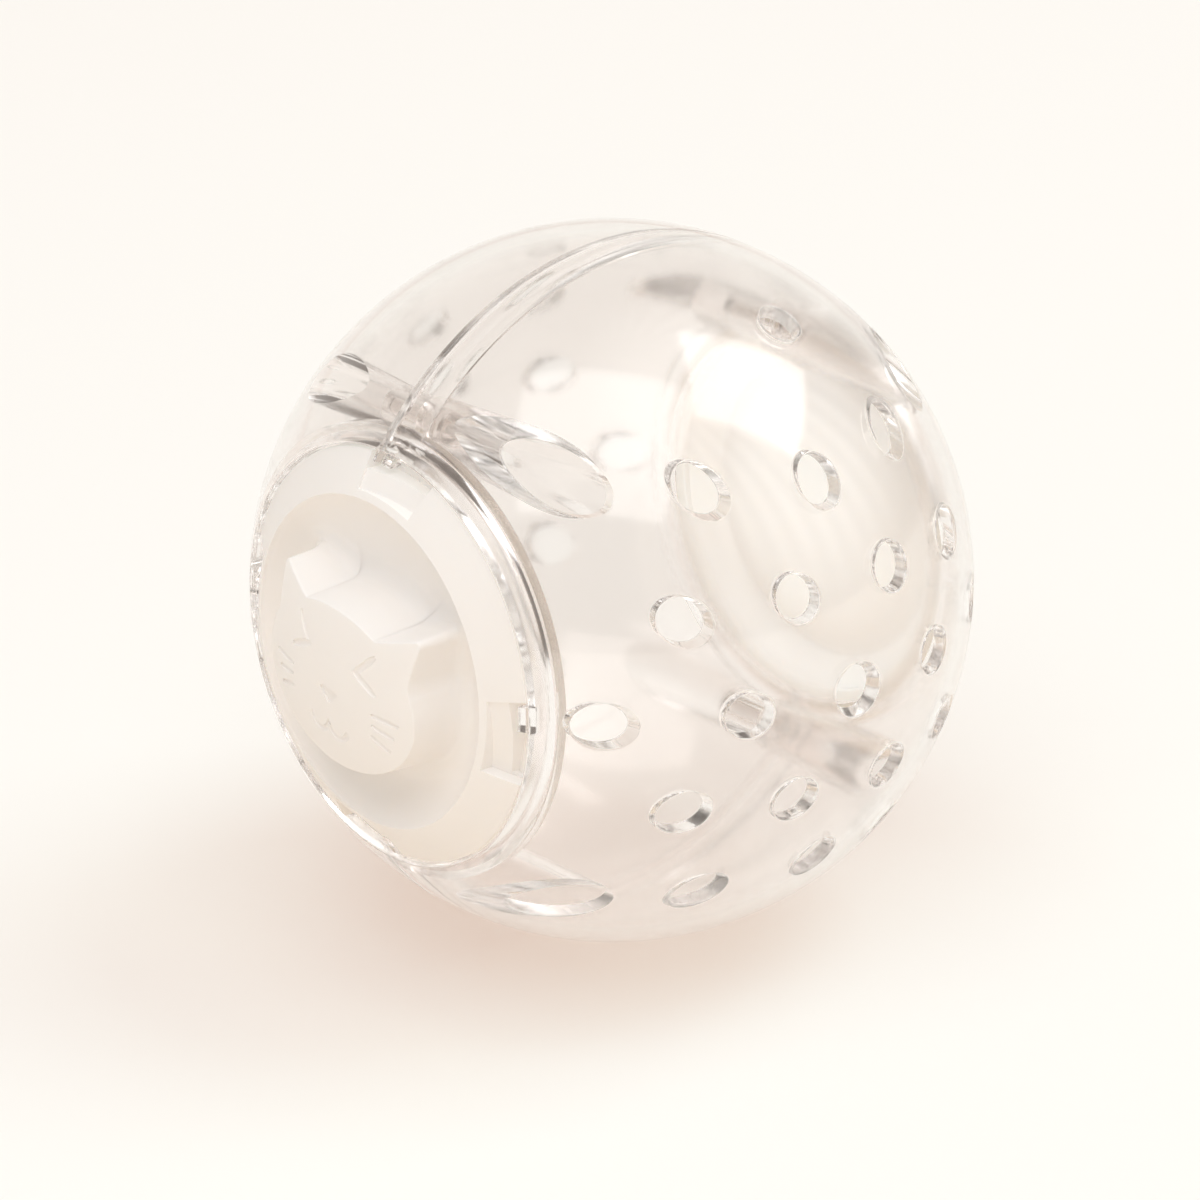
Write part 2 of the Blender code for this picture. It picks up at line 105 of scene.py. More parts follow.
class ShellSizes(bpy.types.PropertyGroup):
    """Sizes of the two clear halves."""
    radius: length("Ball radius", (CAD_BOX[1].z - CAD_BOX[0].z) / 2 / MM, "Outside of the ball")
    wall: length("Wall", 2.0, "Thickness of the wall")
    half_gap: length("Half gap", 0.15, "From the seam's plane to a half's edge")
    lip_round: length("Lip rounding", 0.22, "Rounding of the wall's edges at the seam")
    fitting_depth: length("Fitting depth", 0.8, "How far under the surface the posts and collars end")
    tongue_length: length("Tongue length", 1.2, "How far the right half laps into the left one")
    tongue_outer: length("Tongue outer radius", 48.85, "Outside of the lapping tongue")
    band_inner: length("Band inner radius", 47.4, "Inside of the band that carries the tongue")
    band_width: length("Band width", 4.0, "How far the band runs into the right half")
    groove_clearance: length("Groove clearance", 0.3, "Room round the tongue")
    bore: length("Bore radius", 29.3, "Opening that a door slides into")
    collar_wall: length("Collar wall", 1.75, "Thickness of the ring round an opening")
    ledge_width: length("Ledge width", 2.1, "How far the ledge under a door reaches in")
    ledge_top: length("Ledge top", 35.77, "Height of the ledge above the ball's centre")
    ledge_thickness: length("Ledge thickness", 1.2, "Thickness of the ledge")
    tab_reach: length("Tab reach", 1.7, "How far a key reaches into the opening")
    tab_foot: length("Tab foot", 38.47, "Height of a key's lower side above the ball's centre")
    tab_half_width: turn("Tab half width", 3.5, "Half of the angle that a key takes up")
    post_y: length("Post reach", 30.47, "Distance of the posts in front of and behind the centre")
    post_z: length("Post height", 30.69, "Distance of the posts above and below the centre")
    well_post: length("Well post radius", 3.8, "Radius of a right post at the seam")
    blind_post: length("Blind post radius", 2.9, "Radius of a left post at the seam")
    draft: turn("Draft", 3.0, "Taper of posts and wells")
    well_floor: length("Well floor", 2.35, "Distance of a well's floor from the seam's plane")
    well: length("Well radius", 2.8, "Radius of a well at its floor")
    pin_hole: length("Pin hole radius", 1.2, "Radius of the hole for a pin")
    pin_hole_end: length("Pin hole end", -8.65, "Where the blind hole in a left post ends")


class VentSizes(bpy.types.PropertyGroup):
    """Sizes of the holes in the clear halves."""
    mouth: length("Vent mouth", 6.5, "Width of a vent at the surface")
    taper: turn("Vent taper", 12.0, "Slope of a vent's wall")
    pole_mouth: length("Pole mouth", 8.0, "Width of the vent at the pole")
    pole_taper: turn("Pole taper", 31.0, "Slope of the pole vent's wall")
    crown_mouth: length("Crown mouth", 6.1, "Width of the vent by the crown")
    crown_polar: turn("Crown place", 60.7, "Angle of the crown vent from the pole")
    crown_turn: turn("Crown turn", 78.6, "Angle of the crown vent round the pole")
    first_ring: turn("First ring", 19.7, "Angle of the first ring from the pole")
    second_ring: turn("Second ring", 33.5, "Angle of the second ring from the pole")
    third_ring: turn("Third ring", 42.6, "Angle of the third ring from the pole")
    per_ring: bpy.props.IntProperty(name="Vents in a ring", description="Vents in each of the rings",
                                    default=6, min=1)
    rounding: length("Vent rounding", 0.42, "Rounding of the vents' edges")


class DoorSizes(bpy.types.PropertyGroup):
    """Sizes of the white doors."""
    radius: length("Door radius", 29.0, "Outside of the door")
    sphere: length("Door sphere", 49.3, "Sphere that the rim lies on")
    turned: turn("Turned", 7.5, "How far the door is turned in its collar")
    rim_inner: length("Rim inner radius", 23.3, "Inside of the rim")
    brim: length("Brim radius", 22.9, "Outside of the bowl")
    brim_height: length("Brim height", 42.9, "Height of the bowl's edge above the ball's centre")
    bowl_depth: length("Bowl depth", 4.6, "Depth of the bowl inside the rim")
    bowl_flatness: amount("Bowl flatness", 6.0, "How flat the bowl's floor is before it rises to the rim")
    wall: length("Door wall", 2.0, "Thickness of the bowl")
    foot: length("Foot", 36.07, "Height of the skirt's foot above the ball's centre")
    skirt_inner: length("Skirt inner radius", 25.6, "Inside of the skirt")
    edge_round: length("Edge rounding", 0.45, "Rounding of the rim's outer edge")
    head_sphere: length("Head sphere", 50.0, "Sphere that the cat head's face lies on")
    head_half_width: length("Head half width", 15.3, "Half of the cat head's width")
    head_half_height: length("Head half height", 11.7, "Half of the cat head's height, without its ears")
    head_drop: length("Head drop", 2.2, "How far the cat head sits below the middle")
    ear_tip_across: length("Ear tip across", 14.4, "Ear tip, sideways from the middle")
    ear_tip_up: length("Ear tip up", 10.8, "Ear tip, up from the middle")
    ear_inner: turn("Ear inner root", 61.5, "Inner end of an ear, as an angle on the head's oval")
    ear_outer: turn("Ear outer root", 28.0, "Outer end of an ear, as an angle on the head's oval")
    head_draft: turn("Head draft", 3.2, "Slope of the cat head's sides")
    head_edge: length("Head edge", 0.3, "Rounding of the face's edge")
    head_base: length("Head base", 3.4, "Rounding where the cat head meets the bowl")
    stroke: length("Stroke radius", 0.42, "Radius of the cut strokes")
    stroke_depth: length("Stroke depth", 0.32, "Depth of the cut strokes")
    pocket_half: turn("Pocket half width", 12.4, "Half of the angle that a pocket takes up")
    pocket_inner: length("Pocket inner radius", 24.3, "Inside of a pocket")
    pocket_shallow: length("Pocket shallow end", 0.3, "Depth of a pocket where it starts")
    pocket_deep: length("Pocket deep end", 1.7, "Depth of a pocket at its end wall")
    track_inner: length("Track inner radius", 26.7, "Inside of the track that a key runs in")
    track_floor: length("Track floor", 38.17, "Height of the track above the ball's centre")
    notch_inner: length("Notch inner radius", 27.3, "Inside of the slot that a key passes")
    notch_half: turn("Notch half width", 4.5, "Half of the angle that a slot takes up")


class PinSizes(bpy.types.PropertyGroup):
    """Sizes of the push pins."""
    head: length("Head radius", 2.5, "Radius of a pin's head")
    head_height: length("Head height", 1.6, "Height of a pin's head")
    shank: length("Shank radius", 0.9, "Radius of a pin's shank")
    seat: length("Seat", 2.65, "Distance of the head's lower side from the seam's plane")
    pin_length: length("Pin length", 11.0, "Length under the head")
    tip: length("Tip", 0.5, "Chamfer of the tip")
    rounding: length("Pin rounding", 0.25, "Rounding of the head")


class Plastics(bpy.types.PropertyGroup):
    """Colours and gloss of the plastics."""
    clear_light: colour("Clear tint", (0.990, 0.971, 0.963), "Clear plastic where it is thin")
    clear_deep: colour("Clear streak", (0.964, 0.940, 0.928), "Clear plastic in its flow streaks")
    clear_shadow: colour("Clear shadow", (0.65, 0.64, 0.58), "Lamp light that a clear surface lets through")
    clear_fill: colour("Clear fill", (0.99, 0.988, 0.986), "Soft light that a clear surface lets through")
    clear_gloss: amount("Clear roughness", 0.075, "Roughness of the clear plastic")
    white: colour("White", (0.93, 0.905, 0.885), "Door plastic")
    white_shade: colour("White shade", (0.91, 0.88, 0.855), "Door plastic where it is duller")
    white_gloss: amount("White roughness", 0.38, "Roughness of the door plastic")
    pin: colour("Pin tint", (0.95, 0.94, 0.93), "Pin plastic")
    pin_deep: colour("Pin streak", (0.91, 0.90, 0.89), "Pin plastic in its flow streaks")
    pin_gloss: amount("Pin roughness", 0.05, "Roughness of the pin plastic")


class StageSettings(bpy.types.PropertyGroup):
    """Floor, light and camera."""
    floor_glow: colour("Floor glow", (0.36, 0.075, 0.0), "Light that the floor itself sends to the camera")
    floor_lit: colour("Floor lit", (0.585, 0.82, 0.85), "Part of the floor's look that the shadow darkens")
    # Painted light: this share of plain backdrop glow is laid over the floor where it is seen through the
    # plastic, so the shadow there looks lighter.
    painted_glow_through_plastic: amount("Floor through plastic", 0.4, "How far the plastic hides the shadow behind it")
    floor_plain: colour("Floor", (0.93, 0.82, 0.70), "Floor as the other surfaces see it")
    sky: colour("Surroundings", (1.0, 0.985, 0.96), "Colour of the surrounding light")
    sky_low: amount("Light from the sides", 0.38, "Strength of the surrounding light at the horizon")
    sky_high: amount("Light from above", 0.71, "Strength of the surrounding light where it is brightest")
    backdrop: colour("Backdrop", (0.991, 0.965, 0.905), "Backdrop as the camera sees it")
    dark_room: colour("Dark room", (0.21, 0.18, 0.16), "Room behind the camera, as the plastic shows it")
    umbrella: amount("Umbrella", 1.8, "Brightness of the ribbed umbrella that the plastic reflects")
    key_power: power("Window light", 32.0, "Power of the window light, which throws the shadow")
    key_size: length("Window size", 1860.0, "Width of the window light")
    key_distance: length("Window distance", 3300.0, "Distance of the window light")
    top_power: power("Top light", 38.0, "Power of the large soft light above")
    top_size: length("Top size", 2700.0, "Width of the light above")
    top_distance: length("Top distance", 3000.0, "Distance of the light above")
    front_power: power("Front light", 8.0, "Power of the weak light from the front")
    front_size: length("Front size", 1800.0, "Width of the front light")
    front_distance: length("Front distance", 3600.0, "Distance of the front light")
    inside_power: power("Inside light", 0.036, "Power of the small lamp on the back door's inside")
    inside_colour: colour("Inside light colour", (0.83, 0.94, 1.0), "Cool, against the warm plastic")
    view_distance: length("View distance", 872.5, "Distance of the camera from the ball's centre")
    lens: bpy.props.FloatProperty(name="Lens", description="Focal length", default=189.35, unit="CAMERA")


SETTINGS = {
    "ball_shell": ShellSizes,
    "ball_vents": VentSizes,
    "ball_door": DoorSizes,
    "ball_pin": PinSizes,
    "ball_plastics": Plastics,
    "ball_stage": StageSettings,
}


# Modelling helpers

def deselect_all():
    active = bpy.context.view_layer.objects.active
    if active and active.mode != "OBJECT":
        bpy.ops.object.mode_set(mode="OBJECT")
    bpy.ops.object.select_all(action="DESELECT")


def only(obj):
    """Select one object and make it active."""
    deselect_all()
    obj.select_set(True)
    bpy.context.view_layer.objects.active = obj


def closed(obj):
    """Merge doubles and turn the faces outwards."""
    only(obj)
    bpy.ops.object.mode_set(mode="EDIT")
    bpy.ops.mesh.select_all(action="SELECT")
    bpy.ops.mesh.remove_doubles(threshold=MERGE)
    bpy.ops.mesh.delete_loose()
    bpy.ops.mesh.select_all(action="SELECT")
    bpy.ops.mesh.normals_make_consistent(inside=False)
    bpy.ops.object.mode_set(mode="OBJECT")
    return obj


def turned(name, outline, axis, steps, at=(0.0, 0.0, 0.0)):
    """Spin a closed outline of (radius, along) points a full turn about the X or Y axis."""
    deselect_all()
    bpy.ops.mesh.primitive_circle_add(vertices=len(outline), radius=1.0, fill_type="NOTHING")
    obj = bpy.context.object
    obj.name = name
    centre = Vector(at)
    for vertex, (radius, along) in zip(obj.data.vertices, outline):
        vertex.co = centre + Vector((along, 0.0, radius) if axis == "X" else (0.0, along, radius))
    bpy.ops.object.mode_set(mode="EDIT")
    bpy.ops.mesh.select_all(action="SELECT")
    bpy.ops.mesh.spin(steps=steps, angle=math.tau, center=centre,
                      axis=(1.0, 0.0, 0.0) if axis == "X" else (0.0, 1.0, 0.0))
    bpy.ops.object.mode_set(mode="OBJECT")
    return closed(obj)


def lofted(name, rows):
    """Skin rows of points that each run from one pole to the other and follow each other round."""
    deselect_all()
    bpy.ops.mesh.primitive_grid_add(x_subdivisions=len(rows[0]) - 1, y_subdivisions=len(rows), size=0.1,
                                    calc_uvs=False)
    obj = bpy.context.object
    obj.name = name
    spots = [value for row in [*rows, rows[0]] for spot in row for value in spot]
    obj.data.vertices.foreach_set("co", spots)
    return closed(obj)


def swept(name, sections):
    """Skin closed sections that follow each other along a path, with both ends capped."""
    first = sum((Vector(spot) for spot in sections[0]), Vector()) / len(sections[0])
    last = sum((Vector(spot) for spot in sections[-1]), Vector()) / len(sections[-1])
    rows = [[first, *[section[i] for section in sections], last] for i in range(len(sections[0]))]
    return lofted(name, rows)


def joined(objects):
    """Join loose solids into one object."""
    only(objects[0])
    for obj in objects:
        obj.select_set(True)
    if len(objects) > 1:
        bpy.ops.object.join()
    return objects[0]


def combine(target, tool, operation):
    """Join a tool shape to the target, cut it out, or keep only what is inside it."""
    only(target)
    modifier = target.modifiers.new(operation.title(), "BOOLEAN")
    modifier.operation = operation
    modifier.solver = "MANIFOLD"
    modifier.object = tool
    bpy.ops.object.modifier_apply(modifier=modifier.name)
    bpy.data.objects.remove(tool, do_unlink=True)
    if not target.data.polygons:
        raise RuntimeError(f"{target.name} lost its faces in a {operation.lower()}")
    return target


def corner_arc(corner, along_a, along_b, radius, steps=ROUND_STEPS, lead=0.0):
    """Points that round a corner between two runs that leave it along a and b.

    With a lead, the arc starts that angle late and a straight run brings it out past the first run."""
    corner, along_a, along_b = Vector(corner), Vector(along_a).normalized(), Vector(along_b).normalized()
    half = along_a.angle(along_b) / 2
    sweep = math.pi - 2 * half
    middle = corner + (along_a + along_b).normalized() * radius / math.sin(half)
    first = corner + along_a * radius / math.tan(half) - middle
    last = corner + along_b * radius / math.tan(half) - middle
    late = min(lead, sweep / 2)
    points = []
    for index in range(steps + 1):
        angle = late + (sweep - late) * index / steps
        spot = (first * math.sin(sweep - angle) + last * math.sin(angle)) / math.sin(sweep)
        points.append(middle + spot)
    if lead:
        away = (first * math.cos(sweep - late) - last * math.cos(late)).normalized()
        run = (radius * (1 - math.cos(late)) + LEAD_RISE) / math.sin(late)
        points.insert(0, points[0] + away * run)
    return points


def spread(first, last, steps):
    """Evenly spaced values from first to last."""
    return [first + (last - first) * index / steps for index in range(steps + 1)]


def facing_side(outline, side):
    """An outline of (radius, along) points, turned to the other side if side is -1."""
    return [(radius, side * along) for radius, along in outline]


def dome(radius, first, last):
    """(radius, along) points on a sphere between two angles from its pole."""
    angles = spread(first, last, DOME_STEPS)
    return [(radius * math.sin(angle), radius * math.cos(angle)) for angle in angles]


def on_sphere(radius, off):
    return math.sqrt(radius ** 2 - off ** 2)


def smooth(obj, spheres=()):
    """Shade by angle, and shade what lies on a sphere exactly as that sphere."""
    only(obj)
    bpy.ops.object.shade_smooth_by_angle(angle=SMOOTH_ANGLE)
    if not spheres:
        return obj
    mesh = obj.data
    normals = [(0.0, 0.0, 0.0)] * len(mesh.loops)
    for face in mesh.polygons:
        for loop in face.loop_indices:
            spot = mesh.vertices[mesh.loops[loop].vertex_index].co
            reach = spot.length
            for radius, facing in spheres:
                along = face.normal.dot(spot) * facing
                if abs(reach - radius) < NEAR_SPHERE and along > SPHERE_FACING * reach:
                    normals[loop] = spot * (facing / reach)
    mesh.normals_split_custom_set(normals)
    return obj


def finish_piece(obj, material, body, node):
    """Give a piece its finish, tie it to its body, and hide the node that it stands for."""
    obj.data.materials.clear()
    obj.data.materials.append(material)
    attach(obj, body)
    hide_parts(node)


# Clear halves

POLE_FLAT = 1.0 * MM
SEAM_REACH = 1.0 * MM
CUT_PAST = 2.0 * MM
OVERLAP = 0.4 * MM
HOLE_CAP = 0.7 * MM
MOULD_ROUND = 0.3 * MM
COLLAR_ROUND = 0.35 * MM
SEAM_ROUND = 0.2 * MM
BAND_ROUND = 0.25 * MM
BAND_SLOPE = (1.0, 0.25)
BAND_CLEARANCE = 0.3 * MM
WELL_ROUND = 0.5 * MM
TAB_SLOPE = (1.0, -0.6)
MOUTH_LEAD = math.radians(15.0)
HOLE_LEAD = math.radians(18.0)
DOOR_KEYS = 4
POST_STEPS = 64
PIN_HOLE_STEPS = 40
VENT_COLUMNS = 56
WELL_COLUMNS = 72
SETTLING_ROUNDS = 12


def shell_wall(side):
    """Half of the wall, with its edges at the seam rounded."""
    size = bpy.context.scene.ball_shell
    seam = size.half_gap
    outline = []
    for radius, facing in ((size.radius, 1), (size.radius - size.wall, -1)):
        edge = (on_sphere(radius, seam), seam)
        last = math.acos((seam + 2 * size.lip_round) / radius)
        arc = dome(radius, math.asin(POLE_FLAT / radius), last)
        arc += corner_arc(edge, UP, (-facing, 0.0), size.lip_round)
        outline += arc if facing > 0 else arc[::-1]
    return turned("shell", facing_side(outline, side), "X", BALL_STEPS)


def half_ball(side, foot):
    """Solid half ball that ends inside the wall: what is moulded on a shell is trimmed to it."""
    size = bpy.context.scene.ball_shell
    radius = size.radius - size.fitting_depth
    outline = dome(radius, 0.0, math.acos(foot / radius)) + [(0.0, foot)]
    return turned("half_ball", facing_side(outline, side), "X", BALL_STEPS)


def post_places():
    size = bpy.context.scene.ball_shell
    return [(y * size.post_y, z * size.post_z) for y in (-1, 1) for z in (1, -1)]


def at_posts(name, outline, steps):
    """Spin an outline about the axis of each post."""
    return joined([turned(name, outline, "X", steps, (0.0, y, z)) for y, z in post_places()])


def posts(side):
    """Four tapered posts beside the seam."""
    size = bpy.context.scene.ball_shell
    root = size.well_post if side > 0 else size.blind_post
    tip = root + size.radius * math.tan(size.draft)
    edge = corner_arc((root, size.half_gap), IN, UP, MOULD_ROUND)
    outline = [(0.0, size.half_gap), *edge, (tip, size.radius), (0.0, size.radius)]
    return at_posts("post", facing_side(outline, side), POST_STEPS)


def at_doors(name, outline):
    """Spin an outline about the doors' axis, once at the front and once at the back."""
    return joined([turned(name, facing_side(outline, side), "Y", BALL_STEPS) for side in (-1, 1)])


def collars():
    """A ring round each opening, with the ledge that the door's foot rests on."""
    size = bpy.context.scene.ball_shell
    ledge = size.bore - size.ledge_width
    foot = size.ledge_top - size.ledge_thickness
    outer = size.bore + size.collar_wall
    inner_edge = corner_arc((ledge, foot), UP, OUT, COLLAR_ROUND)
    outer_edge = corner_arc((outer, foot), IN, UP, COLLAR_ROUND)
    return at_doors("collar", [*inner_edge, *outer_edge, (outer, size.radius), (ledge, size.radius)])


def bores(extra=0.0):
    """The round openings that the doors slide into, with a rounded mouth."""
    size = bpy.context.scene.ball_shell
    bore = size.bore + extra
    mouth = on_sphere(size.radius, bore)
    edge = corner_arc((bore, mouth), (mouth, -bore), DOWN, COLLAR_ROUND, WIDE_STEPS, MOUTH_LEAD)
    far = size.radius + CUT_PAST
    floor = size.ledge_top
    return at_doors("bore", [(0.0, far), (edge[0].x, far), *edge, (bore, floor), (0.0, floor)])


def around_y(radius, reach, angle, facing):
    """A point by its distance from the doors' axis, its height and its angle clockwise from the top."""
    return Vector((radius * math.sin(angle), facing * reach, radius * math.cos(angle)))


def tabs():
    """Small keys inside each collar."""
    size = bpy.context.scene.ball_shell
    sphere = size.radius - size.fitting_depth
    tip = size.bore - size.tab_reach
    root = size.bore + size.collar_wall / 2
    top_edge = corner_arc((tip, on_sphere(sphere, tip)), TAB_SLOPE, DOWN, MOULD_ROUND, EDGE_STEPS)
    foot_edge = corner_arc((tip, size.tab_foot), UP, OUT, MOULD_ROUND, EDGE_STEPS)
    outline = [*top_edge, *foot_edge, (root, size.tab_foot), (root, on_sphere(sphere, root))]
    solids = []
    for facing in (-1, 1):
        for index in range(DOOR_KEYS):
            middle = math.tau * index / DOOR_KEYS
            angles = spread(middle - size.tab_half_width, middle + size.tab_half_width, WIDE_STEPS)
            sections = [[around_y(off, y, angle, facing) for off, y in outline] for angle in angles]
            solids.append(swept("tab", sections))
    return joined(solids)


def hole_rows(place, radius_at, outer, inner, rounding, columns):
    """Rows of points for a hole along X through the wall, with both its edges rounded."""
    middle = Vector(place)
    top = Vector((on_sphere(outer, middle.length) + HOLE_CAP, *middle))
    foot = Vector((on_sphere(inner, middle.length) - HOLE_CAP, *middle))
    rows = []
    for column in range(columns):
        angle = math.tau * column / columns
        ray = Vector((math.cos(angle), math.sin(angle)))
        edges = []
        for sphere, facing in ((outer, 1), (inner, -1)):
            x = on_sphere(sphere, middle.length)
            for _ in range(SETTLING_ROUNDS):
                x = on_sphere(sphere, (middle + ray * radius_at(x)).length)
            off = radius_at(x)
            slope = -(middle + ray * off).dot(ray) / x
            lean = (radius_at(x + MM) - off) / MM
            edge = corner_arc((off, x), (1.0, slope), (-lean * facing, -facing), rounding, lead=HOLE_LEAD)
            edges += edge if facing > 0 else edge[::-1]
        rows.append([top, *[Vector((x, *(middle + ray * off))) for off, x in edges], foot])
    return rows


def vents(side):
    """The vents of one half: a pole hole, three rings about it, and one by the crown."""
    size = bpy.context.scene.ball_shell
    vent = bpy.context.scene.ball_vents
    solids = []

    def add(place, mouth, taper, turned_by=None):
        at = on_sphere(size.radius, Vector(place).length)

        def radius_at(x):
            return mouth / 2 + (x - at) * math.tan(taper)

        rows = hole_rows(place, radius_at, size.radius, size.radius - size.wall, vent.rounding, VENT_COLUMNS)
        if turned_by:
            rows = [[turned_by @ spot for spot in row] for row in rows]
        solids.append(lofted("vent", [[Vector((side * x, y, z)) for x, y, z in row] for row in rows]))

    add((0.0, 0.0), vent.pole_mouth, vent.pole_taper)
    for number, polar in enumerate((vent.first_ring, vent.second_ring, vent.third_ring)):
        off = size.radius * math.sin(polar)
        for index in range(vent.per_ring):
            angle = math.tau * (index + 0.5 * (number % 2)) / vent.per_ring
            add((off * math.cos(angle), off * math.sin(angle)), vent.mouth, vent.taper)
    crown = Matrix.Rotation(vent.crown_turn, 3, "X") @ Matrix.Rotation(vent.crown_polar, 3, "Z")
    add((0.0, 0.0), vent.crown_mouth, vent.taper, crown)
    return joined(solids)


def wells():
    """Tapered wells that open on the right half's surface, with a pin hole through each floor."""
    size = bpy.context.scene.ball_shell
    slope = math.tan(size.draft)

    def radius_at(x):
        return size.well + (x - size.well_floor) * slope

    floor = [*corner_arc((size.well, size.well_floor), (slope, 1.0), IN, WELL_ROUND),
             *corner_arc((size.pin_hole, size.well_floor), OUT, DOWN, SEAM_ROUND, TINY_STEPS),
             (size.pin_hole, -CUT_PAST)]
    solids = []
    for place in post_places():
        middle = Vector(place)
        rows = []
        lip = size.radius - OVERLAP
        for row in hole_rows(place, radius_at, size.radius, lip, MOULD_ROUND, WELL_COLUMNS):
            mouth = row[:ROUND_STEPS + 3]
            ray = (mouth[1].yz - middle).normalized()
            deep = [Vector((x, *(middle + ray * off))) for off, x in floor]
            rows.append([*mouth, *deep, Vector((-CUT_PAST, *place))])
        solids.append(lofted("well", rows))
    return joined(solids)


def band():
    """The right half's band inside the seam, with the tongue that laps into the left half."""
    size = bpy.context.scene.ball_shell
    end = -size.tongue_length
    outline = [*corner_arc((size.tongue_outer, end), UP, IN, SEAM_ROUND, EDGE_STEPS),
               *corner_arc((size.band_inner, end), OUT, UP, SEAM_ROUND, EDGE_STEPS),
               *corner_arc((size.band_inner, size.band_width), DOWN, BAND_SLOPE, BAND_ROUND, EDGE_STEPS),
               (size.tongue_outer, size.band_width + OVERLAP)]
    return combine(turned("band", outline, "X", BALL_STEPS), bores(BAND_CLEARANCE), "DIFFERENCE")


def groove():
    """Room in the left half for the tongue."""
    size = bpy.context.scene.ball_shell
    outer = size.tongue_outer + size.groove_clearance
    depth = -size.tongue_length - size.groove_clearance
    inner = size.band_inner - OVERLAP
    corner = corner_arc((outer, depth), IN, UP, SEAM_ROUND, EDGE_STEPS)
    outline = [(inner, depth), *corner, (outer, CUT_PAST), (inner, CUT_PAST)]
    return turned("groove", outline, "X", BALL_STEPS)


def pin_holes():
    """Blind holes in the left half's posts."""
    size = bpy.context.scene.ball_shell
    hole, end = size.pin_hole, size.pin_hole_end
    outline = [(0.0, end), (hole, end), (hole, SEAM_REACH), (0.0, SEAM_REACH)]
    return at_posts("pin_hole", outline, PIN_HOLE_STEPS)


def half_shell(name, side):
    """One clear half: its wall with vents, posts, half collars, keys and holes for the pins."""
    size = bpy.context.scene.ball_shell
    shell = shell_wall(side)
    shell.name = name
    combine(shell, vents(side), "DIFFERENCE")
    combine(shell, combine(posts(side), half_ball(side, -SEAM_REACH), "INTERSECT"), "UNION")
    if side > 0:
        combine(shell, band(), "UNION")
    combine(shell, combine(collars(), half_ball(side, size.half_gap), "INTERSECT"), "UNION")
    combine(shell, bores(), "DIFFERENCE")
    combine(shell, combine(tabs(), half_ball(side, size.half_gap), "INTERSECT"), "UNION")
    for cutter in (wells,) if side > 0 else (groove, pin_holes):
        combine(shell, cutter(), "DIFFERENCE")
    return smooth(closed(shell), ((size.radius, 1), (size.radius - size.wall, -1)))


# White doors

CROWN_STEPS = 30
CHEEK_STEPS = 80
CHEEK_SKIPPED = 8
EAR_STEPS = 10
EAR_INNER_ROUND = 1.0 * MM
EAR_TIP_ROUND = 0.7 * MM
EAR_OUTER_ROUND = 4.0 * MM
FACE_RINGS = 12
SIDE_SHARES = (0.15, 0.3, 0.45, 0.6, 0.75, 0.9, 1.0)
BASE_RINGS = 5
BASE_OUT = 0.5 * MM
BASE_END = 0.9 * MM
BOWL_RINGS = 16
BOWL_CROWDING = 1.25
DRIFT_ROUNDS = 6
DRIFT_REACH = 14
STEEPEST = 0.999
LIP_CURVE = ((0.25, 0.12), (0.5, 0.42), (0.8, 0.8), (1.1, 0.94))
RIM_RINGS = 10
RIM_FROM_LIP = 0.45 * MM
RIM_TO_EDGE = 1.1 * MM
SKIRT_ROUND = 0.35 * MM
BACK_STEP = (0.6 * MM, 0.7 * MM)
BACK_SHARES = (0.95, 0.9, 0.84, 0.77, 0.69, 0.6, 0.45, 0.3, 0.15, 0.0)
CUTTER_OUT = 0.6 * MM
BAR_STEPS = 16
POCKET_STEPS = 6
TRACK_EARLY = 0.002
TRACK_SHORT = 0.012
EYE = ((7.9, 6.1), (4.9, 2.6), (8.8, 0.6))
EYE_WIDTH = 1.35
WHISKERS = (((8.2, -2.4), (12.9, -2.4)), ((8.4, -4.0), (12.2, -4.6)), ((8.2, -5.7), (11.6, -6.9)))
NOSE = ((-2.3, -2.1), (2.3, -2.1), (0.0, -4.4))
NOSE_ROUND = 0.4 * MM
MOUTH = [(1.9 * (side + math.cos(angle)), -7.3 + 1.8 * math.sin(angle))
         for side in (-1, 1) for angle in (math.pi * (1.0 + index / 8) for index in range(side > 0, 9))]
MOUTH_WIDTH = 1.1
STROKE_LIFT = 0.05 * MM
STROKE_CORNERS = 16
LINE_STEPS = 8
CURVE_STEPS = 2


def head_outline():
    """Cat head from the front: evenly spaced (across, up) points with rounded corners, and normals."""
    size = bpy.context.scene.ball_door

    def oval(first, last, steps):
        return [Vector((size.head_half_width * math.cos(angle),
                        size.head_half_height * math.sin(angle) - size.head_drop))
                for angle in spread(first, last, steps)]

    tip = Vector((size.ear_tip_across, size.ear_tip_up))
    crown = oval(math.pi / 2, size.ear_inner, CROWN_STEPS)
    cheek = oval(size.ear_outer, -math.pi / 2, CHEEK_STEPS)
    right = crown[:-1]
    for before, corner, after, radius in ((crown[-2], crown[-1], tip, EAR_INNER_ROUND),
                                          (crown[-1], tip, cheek[0], EAR_TIP_ROUND),
                                          (tip, cheek[0], cheek[1], EAR_OUTER_ROUND)):
        right += corner_arc(corner, before - corner, after - corner, radius, EAR_STEPS)
    right += cheek[CHEEK_SKIPPED:]
    left = [Vector((-spot.x, spot.y)) for spot in right[::-1][1:-1]]
    line = np.array([tuple(spot) for spot in right + left + right[:1]])
    runs = np.hypot(*np.diff(line, axis=0).T)
    along = np.concatenate([[0.0], np.cumsum(runs)])
    even = along[-1] * np.arange(DOOR_COLUMNS) / DOOR_COLUMNS
    spots = np.column_stack([np.interp(even, along, line[:, axis]) for axis in (0, 1)])
    ways = np.roll(spots, -1, axis=0) - np.roll(spots, 1, axis=0)
    ways /= np.hypot(*ways.T)[:, None]
    return spots, np.column_stack([-ways[:, 1], ways[:, 0]])


def blurred(values, reach):
    """Average each column with its neighbours."""
    total = sum(np.roll(values, shift, axis=0) for shift in range(-reach, reach + 1))
    return total / (2 * reach + 1)


